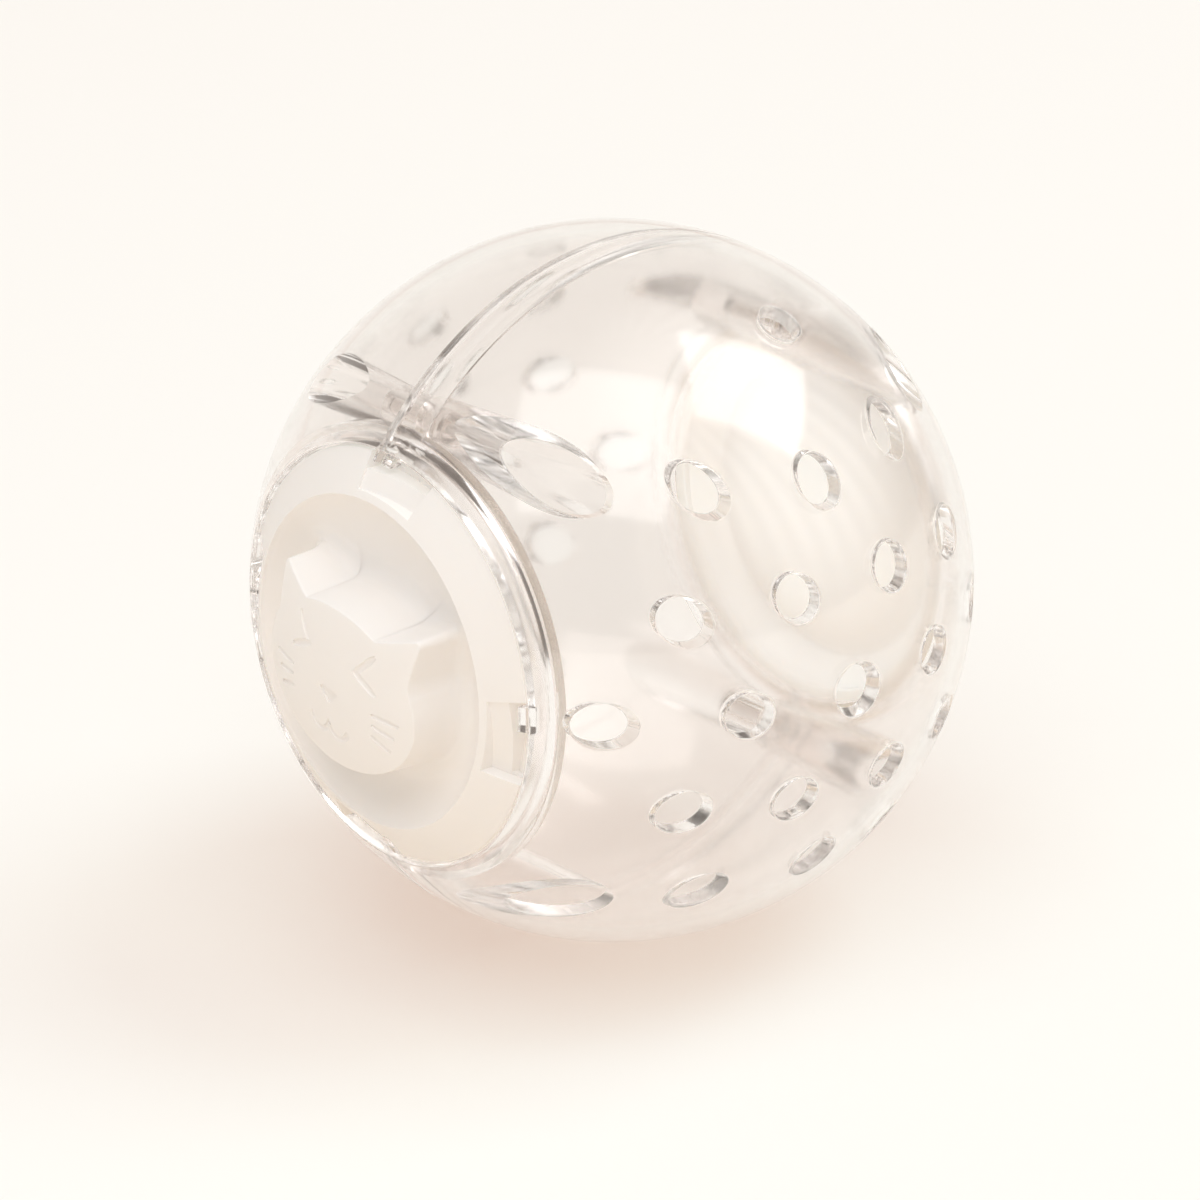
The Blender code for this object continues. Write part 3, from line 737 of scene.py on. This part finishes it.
def door_layers():
    """Rings of the door's surface, as points (across, up, height), from the face's middle to the back's."""
    size = bpy.context.scene.ball_door
    spots, normals = head_outline()
    middle = np.array([0.0, -size.head_drop])
    layers = []

    def bowl(flat):
        share = np.hypot(*flat.T) / size.brim
        return size.brim_height - size.bowl_depth * (1.0 - share ** size.bowl_flatness)

    def face(flat):
        return np.sqrt(size.head_sphere ** 2 - (flat ** 2).sum(axis=1))

    def add(flat, height):
        layers.append(np.column_stack([flat, np.broadcast_to(height, len(flat))]))

    def add_off(off, height):
        add(spots + normals * off[:, None], height)

    edge, draft = size.head_edge, size.head_draft
    tilt = np.arctan((spots * normals).sum(axis=1) / face(spots))
    start = spots - normals * (edge * (1.0 - np.sin(tilt)))[:, None]
    for index in range(FACE_RINGS + 1):
        flat = middle + (start - middle) * index / FACE_RINGS
        add(flat, face(flat))
    shoulder = face(start) - edge * np.cos(tilt)
    for index in range(1, ROUND_STEPS + 1):
        angle = tilt + (math.pi / 2 - draft - tilt) * index / ROUND_STEPS
        add_off(edge * (np.sin(angle) - 1.0), shoulder + edge * np.cos(angle))

    base, sweep = bowl(spots + normals * BASE_OUT), size.head_base
    lift = sweep * (1.0 - math.sin(draft))
    centre = (shoulder - base) * math.tan(draft) + lift / math.cos(draft)
    side_end = centre - sweep * math.cos(draft)
    for share in SIDE_SHARES:
        add_off(side_end * share, shoulder + (base + lift - shoulder) * share)
    last = np.arccos((centre - BASE_END) / sweep)
    for index in range(1, BASE_RINGS + 1):
        angle = draft + (last - draft) * (index / BASE_RINGS)
        add_off(centre - sweep * np.cos(angle), base + sweep * (1.0 - np.sin(angle)))

    start = spots + normals * BASE_END
    angles = np.unwrap(np.arctan2(start[:, 0], start[:, 1]))
    steady = np.linspace(0.0, math.tau, DOOR_COLUMNS, endpoint=False) * np.sign(angles[-1] - angles[0])
    drift = angles - steady
    for _ in range(DRIFT_ROUNDS):
        drift = blurred(drift, DRIFT_REACH)
    rim_way = np.column_stack([np.sin(steady + drift), np.cos(steady + drift)])
    for index in range(1, BOWL_RINGS + 1):
        flat = start + (rim_way * size.brim - start) * (index / BOWL_RINGS) ** BOWL_CROWDING
        gap = np.sqrt(((flat[:, None, :] - spots[None, :, :]) ** 2).sum(axis=2)).min(axis=1)
        steep = np.clip((centre - gap) / sweep, 0.0, STEEPEST)
        rise = blurred(sweep * (1.0 - np.sqrt(1.0 - steep ** 2)), 1 + index // 2)
        add(flat, bowl(flat) + rise * (index < BOWL_RINGS))

    def ring(radius, height):
        add(rim_way * radius, height)

    lip = on_sphere(size.sphere, size.rim_inner)
    for share, rise in LIP_CURVE:
        ring(size.brim + (size.rim_inner - size.brim) * share,
             size.brim_height + (lip - size.brim_height) * rise)
    for radius in spread(size.rim_inner + RIM_FROM_LIP, size.radius - RIM_TO_EDGE, RIM_RINGS):
        ring(radius, on_sphere(size.sphere, radius))
    rim = (size.radius, on_sphere(size.sphere, size.radius))
    for spot in (*corner_arc(rim, (-rim[1], rim[0]), DOWN, size.edge_round, WIDE_STEPS),
                 *corner_arc((size.radius, size.foot), UP, IN, SKIRT_ROUND),
                 *corner_arc((size.skirt_inner, size.foot), OUT, UP, SKIRT_ROUND)):
        ring(*spot)
    brim_back, back_height = size.brim - size.wall / 2, size.brim_height - size.wall
    ring(size.skirt_inner, size.foot + size.wall / 2)
    ring(brim_back + BACK_STEP[0], back_height - BACK_STEP[1])
    ring(brim_back, back_height)
    for share in BACK_SHARES:
        flat = rim_way * brim_back * share
        add(flat, bowl(flat * size.brim / brim_back) - size.wall)
    return layers


def rim_cutters():
    """Four sloped pockets in the rim, the track beside each, and the slot that a key passes."""
    size = bpy.context.scene.ball_door
    outer, high = size.radius + CUTTER_OUT, size.sphere
    solids = []

    def bar(start, end, section_at):
        sections = []
        for angle in spread(start, end, BAR_STEPS):
            section = section_at((angle - start) / (end - start))
            sections.append([around_y(off, y, angle, -1) for off, y in section])
        solids.append(swept("pocket", sections))

    def rest(share):
        sphere = size.sphere - size.pocket_shallow - (size.pocket_deep - size.pocket_shallow) * share
        floor = [(off, on_sphere(sphere, off)) for off in spread(size.pocket_inner, outer, POCKET_STEPS)]
        return floor + [(outer, high), (size.pocket_inner, high)]

    def box(inner, foot):
        return lambda share: [(inner, foot), (outer, foot), (outer, high), (inner, high)]

    for index in range(DOOR_KEYS):
        middle = math.tau * index / DOOR_KEYS
        start, end, key = middle - size.pocket_half, middle + size.pocket_half, middle - size.turned
        bar(start, end, rest)
        bar(start - TRACK_EARLY, end - TRACK_SHORT, box(size.track_inner, size.track_floor))
        bar(key - size.notch_half, key + size.notch_half, box(size.notch_inner, size.foot - CUT_PAST))
    return solids


def stroke_cutters():
    """Strokes cut into the cat's face: eyes, whiskers, nose and mouth."""
    size = bpy.context.scene.ball_door
    ring = [math.tau * corner / STROKE_CORNERS for corner in range(STROKE_CORNERS)]
    depth = size.stroke_depth + STROKE_LIFT
    solids = []

    def on_face(x, z, out):
        return Vector((x, -on_sphere(size.head_sphere, math.hypot(x, z)) - out, z))

    def stroke(line, radius, steps):
        path = [Vector(spot) * MM for spot in line]
        points = []
        for first, last in zip(path, path[1:]):
            points += [first.lerp(last, index / steps) for index in range(steps)]
        points.append(path[-1])
        sections = []
        for index, (x, z) in enumerate(points):
            way = points[min(index + 1, len(points) - 1)] - points[max(index - 1, 0)]
            across = Vector((-way.y, 0.0, way.x)).normalized()
            from_end = min(index, len(points) - 1 - index) / steps
            wide = across * (radius * min(1.0, 0.5 + 2.0 * from_end))
            spot = on_face(x, z, STROKE_LIFT)
            sections.append([spot + wide * math.cos(angle) + Vector((0.0, depth * math.sin(angle), 0.0))
                             for angle in ring])
        solids.append(swept("stroke", sections))

    for side in (-1, 1):
        stroke([(side * x, z) for x, z in EYE], EYE_WIDTH * size.stroke, LINE_STEPS)
        for whisker in WHISKERS:
            stroke([(side * x, z) for x, z in whisker], size.stroke, LINE_STEPS)
    stroke(MOUTH, MOUTH_WIDTH * size.stroke, CURVE_STEPS)
    corners = [Vector(spot) * MM for spot in NOSE]
    outline = []
    for index, corner in enumerate(corners):
        outline += corner_arc(corner, corners[index - 1] - corner, corners[index - 2] - corner, NOSE_ROUND)
    ends = (-size.stroke_depth, MM)
    solids.append(swept("nose", [[on_face(*spot, out) for spot in outline] for out in ends]))
    return solids


def front_door(name):
    """A white door with a raised cat head, turned a little in its collar."""
    size = bpy.context.scene.ball_door
    layers = np.stack(door_layers(), axis=1)
    rows = [[Vector((x, -height, z)) for x, z, height in column] for column in layers.tolist()]
    door = lofted(name, rows)
    for cutter in rim_cutters() + stroke_cutters():
        combine(door, cutter, "DIFFERENCE")
    only(door)
    door.rotation_euler = (0.0, size.turned, 0.0)
    bpy.ops.object.transform_apply(location=False, rotation=True, scale=False)
    return smooth(closed(door), ((size.head_sphere, 1), (size.sphere, 1)))


# Plastics

NODE_STEP = 220.0
CLEAR_IOR = 1.49
COLOUR, NUMBER = "NodeSocketColor", "NodeSocketFloat"


def new_node(tree, kind, values=(), **settings):
    """Add a node to the right of the others, with its settings and the values of its sockets."""
    node = tree.nodes.new(kind)
    node.location.x = NODE_STEP * len(tree.nodes)
    for key, value in settings.items():
        setattr(node, key, value)
    for socket, value in dict(values).items():
        node.inputs[socket].default_value = value
    return node


def wire(tree, *links):
    """Link nodes, each link given as (node, output, node, input)."""
    for source, output, target, socket in links:
        tree.links.new(source.outputs[output], target.inputs[socket])


def moulded_group():
    """Shared look of moulded plastic: slow flow streaks, fine scuffs, and the height of both."""
    name = "moulded_surface"
    if name in bpy.data.node_groups:
        return bpy.data.node_groups[name]
    tree = bpy.data.node_groups.new(name, "ShaderNodeTree")
    for label, kind in (("Light", COLOUR), ("Deep", COLOUR), ("Roughness", NUMBER), ("Scuffs", NUMBER),
                        ("Flow Scale", NUMBER), ("Grain Scale", NUMBER), ("Grain", NUMBER)):
        tree.interface.new_socket(label, in_out="INPUT", socket_type=kind)
    for label, kind in (("Colour", COLOUR), ("Roughness", NUMBER), ("Height", NUMBER)):
        tree.interface.new_socket(label, in_out="OUTPUT", socket_type=kind)
    given = new_node(tree, "NodeGroupInput")
    spot = new_node(tree, "ShaderNodeTexCoord")
    flow = new_node(tree, "ShaderNodeTexNoise", {"Detail": 2.0, "Distortion": 0.6})
    grain = new_node(tree, "ShaderNodeTexNoise", {"Detail": 3.0})
    mix = new_node(tree, "ShaderNodeMix", data_type="RGBA")
    scuff = new_node(tree, "ShaderNodeMath", operation="MULTIPLY_ADD")
    height = new_node(tree, "ShaderNodeMath", operation="MULTIPLY_ADD")
    made = new_node(tree, "NodeGroupOutput")
    wire(tree, (spot, "Object", flow, "Vector"), (given, "Flow Scale", flow, "Scale"),
         (spot, "Object", grain, "Vector"), (given, "Grain Scale", grain, "Scale"),
         (flow, "Fac", mix, "Factor"), (given, "Light", mix, "A"), (given, "Deep", mix, "B"),
         (grain, "Fac", scuff, 0), (given, "Scuffs", scuff, 1), (given, "Roughness", scuff, 2),
         (grain, "Fac", height, 0), (given, "Grain", height, 1), (flow, "Fac", height, 2),
         (mix, "Result", made, "Colour"), (scuff, "Value", made, "Roughness"),
         (height, "Value", made, "Height"))
    return tree


def moulded_plastic(name, light, deep, relief, values):
    """A material whose colour, gloss and relief come from the shared moulded look."""
    material = bpy.data.materials.new(name)
    material.use_nodes = True
    tree = material.node_tree
    shader = tree.nodes["Principled BSDF"]
    shader.inputs["Metallic"].default_value = 0.0
    look = new_node(tree, "ShaderNodeGroup", {"Light": (*light, 1.0), "Deep": (*deep, 1.0), **values},
                    node_tree=moulded_group())
    bump = new_node(tree, "ShaderNodeBump", {"Strength": 1.0, "Distance": relief})
    wire(tree, (look, "Colour", shader, "Base Color"), (look, "Roughness", shader, "Roughness"),
         (look, "Height", bump, "Height"), (bump, "Normal", shader, "Normal"))
    return material, tree, shader


def clear_plastic(name, light, deep, roughness):
    """Clear moulded plastic that lets the lamps and the light from all round through."""
    finish = bpy.context.scene.ball_plastics
    material, tree, shader = moulded_plastic(name, light, deep, 0.02 * MM, {
        "Roughness": roughness, "Scuffs": 0.01, "Flow Scale": 42.0, "Grain Scale": 900.0, "Grain": 0.006})
    shader.inputs["Transmission Weight"].default_value = 1.0
    shader.inputs["IOR"].default_value = CLEAR_IOR
    path = new_node(tree, "ShaderNodeLightPath")
    last = shader
    for ray, tint in (("Is Diffuse Ray", finish.clear_fill), ("Is Shadow Ray", finish.clear_shadow)):
        through = new_node(tree, "ShaderNodeBsdfTransparent", {"Color": (*tint, 1.0)})
        mix = new_node(tree, "ShaderNodeMixShader")
        wire(tree, (path, ray, mix, 0), (last, 0, mix, 1), (through, "BSDF", mix, 2))
        last = mix
    wire(tree, (last, "Shader", tree.nodes["Material Output"], "Surface"))
    return material


def white_plastic(name):
    """Warm white satin plastic that light enters a little."""
    finish = bpy.context.scene.ball_plastics
    material, tree, shader = moulded_plastic(name, finish.white, finish.white_shade, 0.012 * MM, {
        "Roughness": finish.white_gloss, "Scuffs": 0.08, "Flow Scale": 60.0, "Grain Scale": 1500.0,
        "Grain": 0.12})
    shader.inputs["Subsurface Weight"].default_value = 0.2
    shader.inputs["Subsurface Radius"].default_value = (1.0, 0.9, 0.8)
    shader.inputs["Subsurface Scale"].default_value = 2.0 * MM
    return material


# Stage

VIEW_WAY = Vector((0.696, -0.605, 0.386)).normalized()
VIEW_SHIFT = (-0.0098, -0.0167)
SENSOR_WIDTH = 36.0
KEY_WAY = Vector((0.260, 0.524, 0.811)).normalized()
TOP_WAY = Vector((0.25, -0.30, 0.92)).normalized()
FRONT_WAY = Vector((0.55, -0.62, 0.56)).normalized()
INSIDE_PLACE = (0.0, -12.0 * MM, 0.0)
INSIDE_SPREAD = math.radians(74.0)
INSIDE_BLEND = 0.35
INSIDE_RADIUS = 8.0 * MM
SKY_WAY = Vector((0.05, -0.55, 0.83)).normalized()
UMBRELLA_WAY = Vector((0.45, 0.47, 0.76)).normalized()
UMBRELLA_TINT = (1.0, 0.98, 0.95)
UMBRELLA_RIBS = 40
RIB_DEPTH = 0.4
FLOOR_WIDTH = 12.0
LIGHT_BOUNCES = 32


def floor_material():
    """Pale floor: glow and shadow for the camera and in the plastic, plain for other light. Where the
    plastic shows the floor, painted backdrop glow partly covers the shadow.
    """
    stage = bpy.context.scene.ball_stage
    material = bpy.data.materials.new("pale_floor")
    material.use_nodes = True
    material.cycles.emission_sampling = "NONE"
    tree = material.node_tree
    tree.nodes.clear()
    path = new_node(tree, "ShaderNodeLightPath")
    direct = new_node(tree, "ShaderNodeMath", operation="MAXIMUM")
    seen = new_node(tree, "ShaderNodeMath", operation="MAXIMUM")
    glow = new_node(tree, "ShaderNodeEmission", {"Color": (*stage.floor_glow, 1.0)})
    lit = new_node(tree, "ShaderNodeBsdfDiffuse", {"Color": (*stage.floor_lit, 1.0)})
    plain = new_node(tree, "ShaderNodeBsdfDiffuse", {"Color": (*stage.floor_plain, 1.0)})
    # Painted light: for rays through the plastic, backdrop glow is mixed over the floor and lightens the
    # shadow seen there.
    backdrop = new_node(tree, "ShaderNodeEmission", {"Color": (*stage.backdrop, 1.0)})
    share = new_node(tree, "ShaderNodeMath", {1: stage.painted_glow_through_plastic}, operation="MULTIPLY")
    both = new_node(tree, "ShaderNodeAddShader")
    mix = new_node(tree, "ShaderNodeMixShader")
    through = new_node(tree, "ShaderNodeMixShader")
    made = new_node(tree, "ShaderNodeOutputMaterial")
    wire(tree, (path, "Is Camera Ray", direct, 0), (path, "Is Glossy Ray", direct, 1),
         (direct, "Value", seen, 0), (path, "Is Transmission Ray", seen, 1),
         (glow, "Emission", both, 0), (lit, "BSDF", both, 1),
         (seen, "Value", mix, 0), (plain, "BSDF", mix, 1), (both, "Shader", mix, 2),
         (path, "Is Transmission Ray", share, 0),
         (share, "Value", through, 0), (mix, "Shader", through, 1), (backdrop, "Emission", through, 2),
         (through, "Shader", made, "Surface"))
    return material


def studio_world():
    """Soft light from all round. The plastic shows a pale backdrop, a darker room and a ribbed umbrella."""
    stage = bpy.context.scene.ball_stage
    world = bpy.data.worlds.new("studio")
    bpy.context.scene.world = world
    world.use_nodes = True
    tree = world.node_tree
    tree.nodes.clear()
    path = new_node(tree, "ShaderNodeLightPath")
    spot = new_node(tree, "ShaderNodeTexCoord")

    def facing(way, low, high, shape, values=()):
        """How far a direction faces this way, from low to high."""
        along = new_node(tree, "ShaderNodeVectorMath", {1: way}, operation="DOT_PRODUCT")
        share = new_node(tree, "ShaderNodeMapRange", {"From Min": low, "From Max": high, **dict(values)},
                         interpolation_type=shape)
        wire(tree, (spot, "Generated", along, 0), (along, "Value", share, "Value"))
        return share

    rise = facing(SKY_WAY, 0.0, 1.0, "LINEAR", {"To Min": stage.sky_low, "To Max": stage.sky_high})
    glow = new_node(tree, "ShaderNodeBackground", {"Color": (*stage.sky, 1.0)})
    behind = facing(VIEW_WAY, -0.9, -0.1, "SMOOTHSTEP")
    walls = new_node(tree, "ShaderNodeMix", data_type="RGBA")
    walls.inputs["A"].default_value = (*stage.backdrop, 1.0)
    walls.inputs["B"].default_value = (*stage.dark_room, 1.0)
    wire(tree, (rise, "Result", glow, "Strength"), (behind, "Result", walls, "Factor"))

    cloth = facing(UMBRELLA_WAY, 0.6, 0.95, "SMOOTHSTEP")
    round_pole = new_node(tree, "ShaderNodeTexGradient", gradient_type="RADIAL")
    count = new_node(tree, "ShaderNodeMath", {1: math.tau * UMBRELLA_RIBS}, operation="MULTIPLY")
    wave = new_node(tree, "ShaderNodeMath", operation="SINE")
    ribs = new_node(tree, "ShaderNodeMapRange", {"From Min": -1.0, "To Min": RIB_DEPTH})
    ribbed = new_node(tree, "ShaderNodeMath", operation="MULTIPLY")
    shine = new_node(tree, "ShaderNodeMath", operation="MULTIPLY")
    room = new_node(tree, "ShaderNodeMix", data_type="RGBA")
    room.inputs["B"].default_value = (*(stage.umbrella * part for part in UMBRELLA_TINT), 1.0)
    wire(tree, (spot, "Generated", round_pole, "Vector"), (round_pole, "Fac", count, 0),
         (count, "Value", wave, 0), (wave, "Value", ribs, "Value"),
         (cloth, "Result", ribbed, 0), (ribs, "Result", ribbed, 1),
         (ribbed, "Value", shine, 0), (path, "Is Glossy Ray", shine, 1),
         (shine, "Value", room, "Factor"), (walls, "Result", room, "A"))

    shown = new_node(tree, "ShaderNodeBackground")
    backdrop = new_node(tree, "ShaderNodeBackground", {"Color": (*stage.backdrop, 1.0)})
    seen = new_node(tree, "ShaderNodeMath", operation="MAXIMUM")
    lit_or_seen = new_node(tree, "ShaderNodeMixShader")
    mix = new_node(tree, "ShaderNodeMixShader")
    made = new_node(tree, "ShaderNodeOutputWorld")
    wire(tree, (room, "Result", shown, "Color"),
         (path, "Is Glossy Ray", seen, 0), (path, "Is Transmission Ray", seen, 1),
         (seen, "Value", lit_or_seen, 0), (glow, "Background", lit_or_seen, 1),
         (shown, "Background", lit_or_seen, 2),
         (path, "Is Camera Ray", mix, 0), (lit_or_seen, "Shader", mix, 1), (backdrop, "Background", mix, 2),
         (mix, "Shader", made, "Surface"))


def hang_light(name, way, distance, size, watts, shows):
    """A square soft light that faces the ball. Some don't show in the plastic."""
    bpy.ops.object.light_add(type="AREA", location=way * distance)
    lamp = bpy.context.object
    lamp.name = name
    lamp.data.energy = watts
    lamp.data.size = size
    lamp.rotation_euler = (-way).to_track_quat("-Z", "Y").to_euler()
    lamp.visible_glossy = shows
    lamp.visible_transmission = shows


def inside_light(watts, tint):
    """A small lamp in the ball that shines on the back door's inside."""
    bpy.ops.object.light_add(type="SPOT", location=INSIDE_PLACE)
    lamp = bpy.context.object
    lamp.name = "inside_light"
    lamp.data.energy = watts
    lamp.data.color = tint
    lamp.data.spot_size = INSIDE_SPREAD
    lamp.data.spot_blend = INSIDE_BLEND
    lamp.data.shadow_soft_size = INSIDE_RADIUS
    lamp.rotation_euler = (math.pi / 2, 0.0, 0.0)
    lamp.visible_glossy = False
    lamp.visible_transmission = False


# Operators

PIN_STEPS = 48


class BALL_OT_clear_halves(bpy.types.Operator):
    """Build the two clear half shells"""
    bl_idname = "snack_ball.clear_halves"
    bl_label = "Clear Halves"

    def execute(self, context):
        finish = context.scene.ball_plastics
        material = clear_plastic("clear_moulding", finish.clear_light, finish.clear_deep, finish.clear_gloss)
        for name, side in (("right_half", 1), ("left_half", -1)):
            piece = half_shell(name, side)
            finish_piece(piece, material, "ball_body", f"{name}_shell")
        return {"FINISHED"}


class BALL_OT_doors(bpy.types.Operator):
    """Build the white door, and copy it to the back"""
    bl_idname = "snack_ball.doors"
    bl_label = "Doors"

    def execute(self, context):
        material = white_plastic("white_moulding")
        front = front_door("front_lid")
        only(front)
        bpy.ops.object.duplicate(linked=False)
        back = context.object
        back.name = "back_lid"
        back.rotation_euler = (0.0, 0.0, math.pi)
        bpy.ops.object.transform_apply(location=False, rotation=True, scale=False)
        finish_piece(front, material, "front_door_body", "front_door")
        finish_piece(back, material, "back_door_body", "back_door")
        return {"FINISHED"}


class BALL_OT_pins(bpy.types.Operator):
    """Build the push pin, and copy it to the four posts"""
    bl_idname = "snack_ball.pins"
    bl_label = "Pins"

    def execute(self, context):
        size = context.scene.ball_pin
        finish = context.scene.ball_plastics
        material = clear_plastic("pin_moulding", finish.pin, finish.pin_deep, finish.pin_gloss)
        top, end = size.seat + size.head_height, size.seat - size.pin_length
        crown = corner_arc((size.head, top), IN, DOWN, size.rounding)
        brim = corner_arc((size.head, size.seat), UP, IN, size.rounding / 2, TINY_STEPS)
        neck = corner_arc((size.shank, size.seat), OUT, DOWN, size.rounding / 2, TINY_STEPS)
        tip = corner_arc((size.shank, end), UP, IN, size.tip)
        outline = [(0.0, top), *crown, *brim, *neck, *tip, (0.0, end)]
        first = smooth(turned("pin", outline, "X", PIN_STEPS))
        names = ("top_front", "bottom_front", "top_back", "bottom_back")
        for name, (y, z) in zip(names, post_places()):
            only(first)
            bpy.ops.object.duplicate(linked=False)
            piece = context.object
            piece.name = f"{name}_push_pin"
            piece.location = (0.0, y, z)
            bpy.ops.object.transform_apply(location=True, rotation=False, scale=False)
            finish_piece(piece, material, "ball_body", f"{name}_pin")
        bpy.data.objects.remove(first, do_unlink=True)
        return {"FINISHED"}


class BALL_OT_stage(bpy.types.Operator):
    """Lay the floor, hang the lights and set the camera"""
    bl_idname = "snack_ball.stage"
    bl_label = "Stage"

    def execute(self, context):
        stage = context.scene.ball_stage
        deselect_all()
        bpy.ops.mesh.primitive_plane_add(size=FLOOR_WIDTH, location=(0.0, 0.0, CAD_BOX[0].z))
        floor = context.object
        floor.name = "floor"
        floor.data.materials.append(floor_material())
        studio_world()
        hang_light("window_light", KEY_WAY, stage.key_distance, stage.key_size, stage.key_power, True)
        hang_light("top_light", TOP_WAY, stage.top_distance, stage.top_size, stage.top_power, True)
        hang_light("front_light", FRONT_WAY, stage.front_distance, stage.front_size, stage.front_power,
                   False)
        inside_light(stage.inside_power, stage.inside_colour)
        bpy.ops.object.camera_add(location=VIEW_WAY * stage.view_distance)
        camera = context.object
        camera.rotation_euler = (-VIEW_WAY).to_track_quat("-Z", "Y").to_euler()
        camera.data.lens = stage.lens
        camera.data.sensor_width = SENSOR_WIDTH
        camera.data.shift_x, camera.data.shift_y = VIEW_SHIFT
        context.scene.camera = camera
        for limit in ("max_bounces", "glossy_bounces", "transmission_bounces", "transparent_max_bounces"):
            setattr(context.scene.cycles, limit, LIGHT_BOUNCES)
        context.scene.cycles.blur_glossy = 0.0
        context.scene.view_settings.view_transform = "Standard"
        return {"FINISHED"}


class BALL_PT_panel(bpy.types.Panel):
    """Buttons and sizes of the snack ball"""
    bl_idname = "BALL_PT_panel"
    bl_label = "Snack Ball"
    bl_space_type = "VIEW_3D"
    bl_region_type = "UI"
    bl_category = "Snack Ball"

    def draw(self, context):
        for operator in OPERATORS:
            self.layout.operator(operator.bl_idname)
        for name, group in SETTINGS.items():
            box = self.layout.box()
            box.label(text=group.__doc__)
            for prop in group.__annotations__:
                box.prop(getattr(context.scene, name), prop)


OPERATORS = (BALL_OT_clear_halves, BALL_OT_doors, BALL_OT_pins, BALL_OT_stage)


def register():
    for cls in (*SETTINGS.values(), *OPERATORS, BALL_PT_panel):
        bpy.utils.register_class(cls)
    for name, group in SETTINGS.items():
        setattr(bpy.types.Scene, name, bpy.props.PointerProperty(type=group))


def unregister():
    for name in SETTINGS:
        delattr(bpy.types.Scene, name)
    for cls in (BALL_PT_panel, *OPERATORS[::-1], *list(SETTINGS.values())[::-1]):
        bpy.utils.unregister_class(cls)


def main():
    register()
    bpy.ops.snack_ball.clear_halves()
    bpy.ops.snack_ball.doors()
    bpy.ops.snack_ball.pins()
    bpy.ops.snack_ball.stage()


if __name__ == "__main__":
    main()
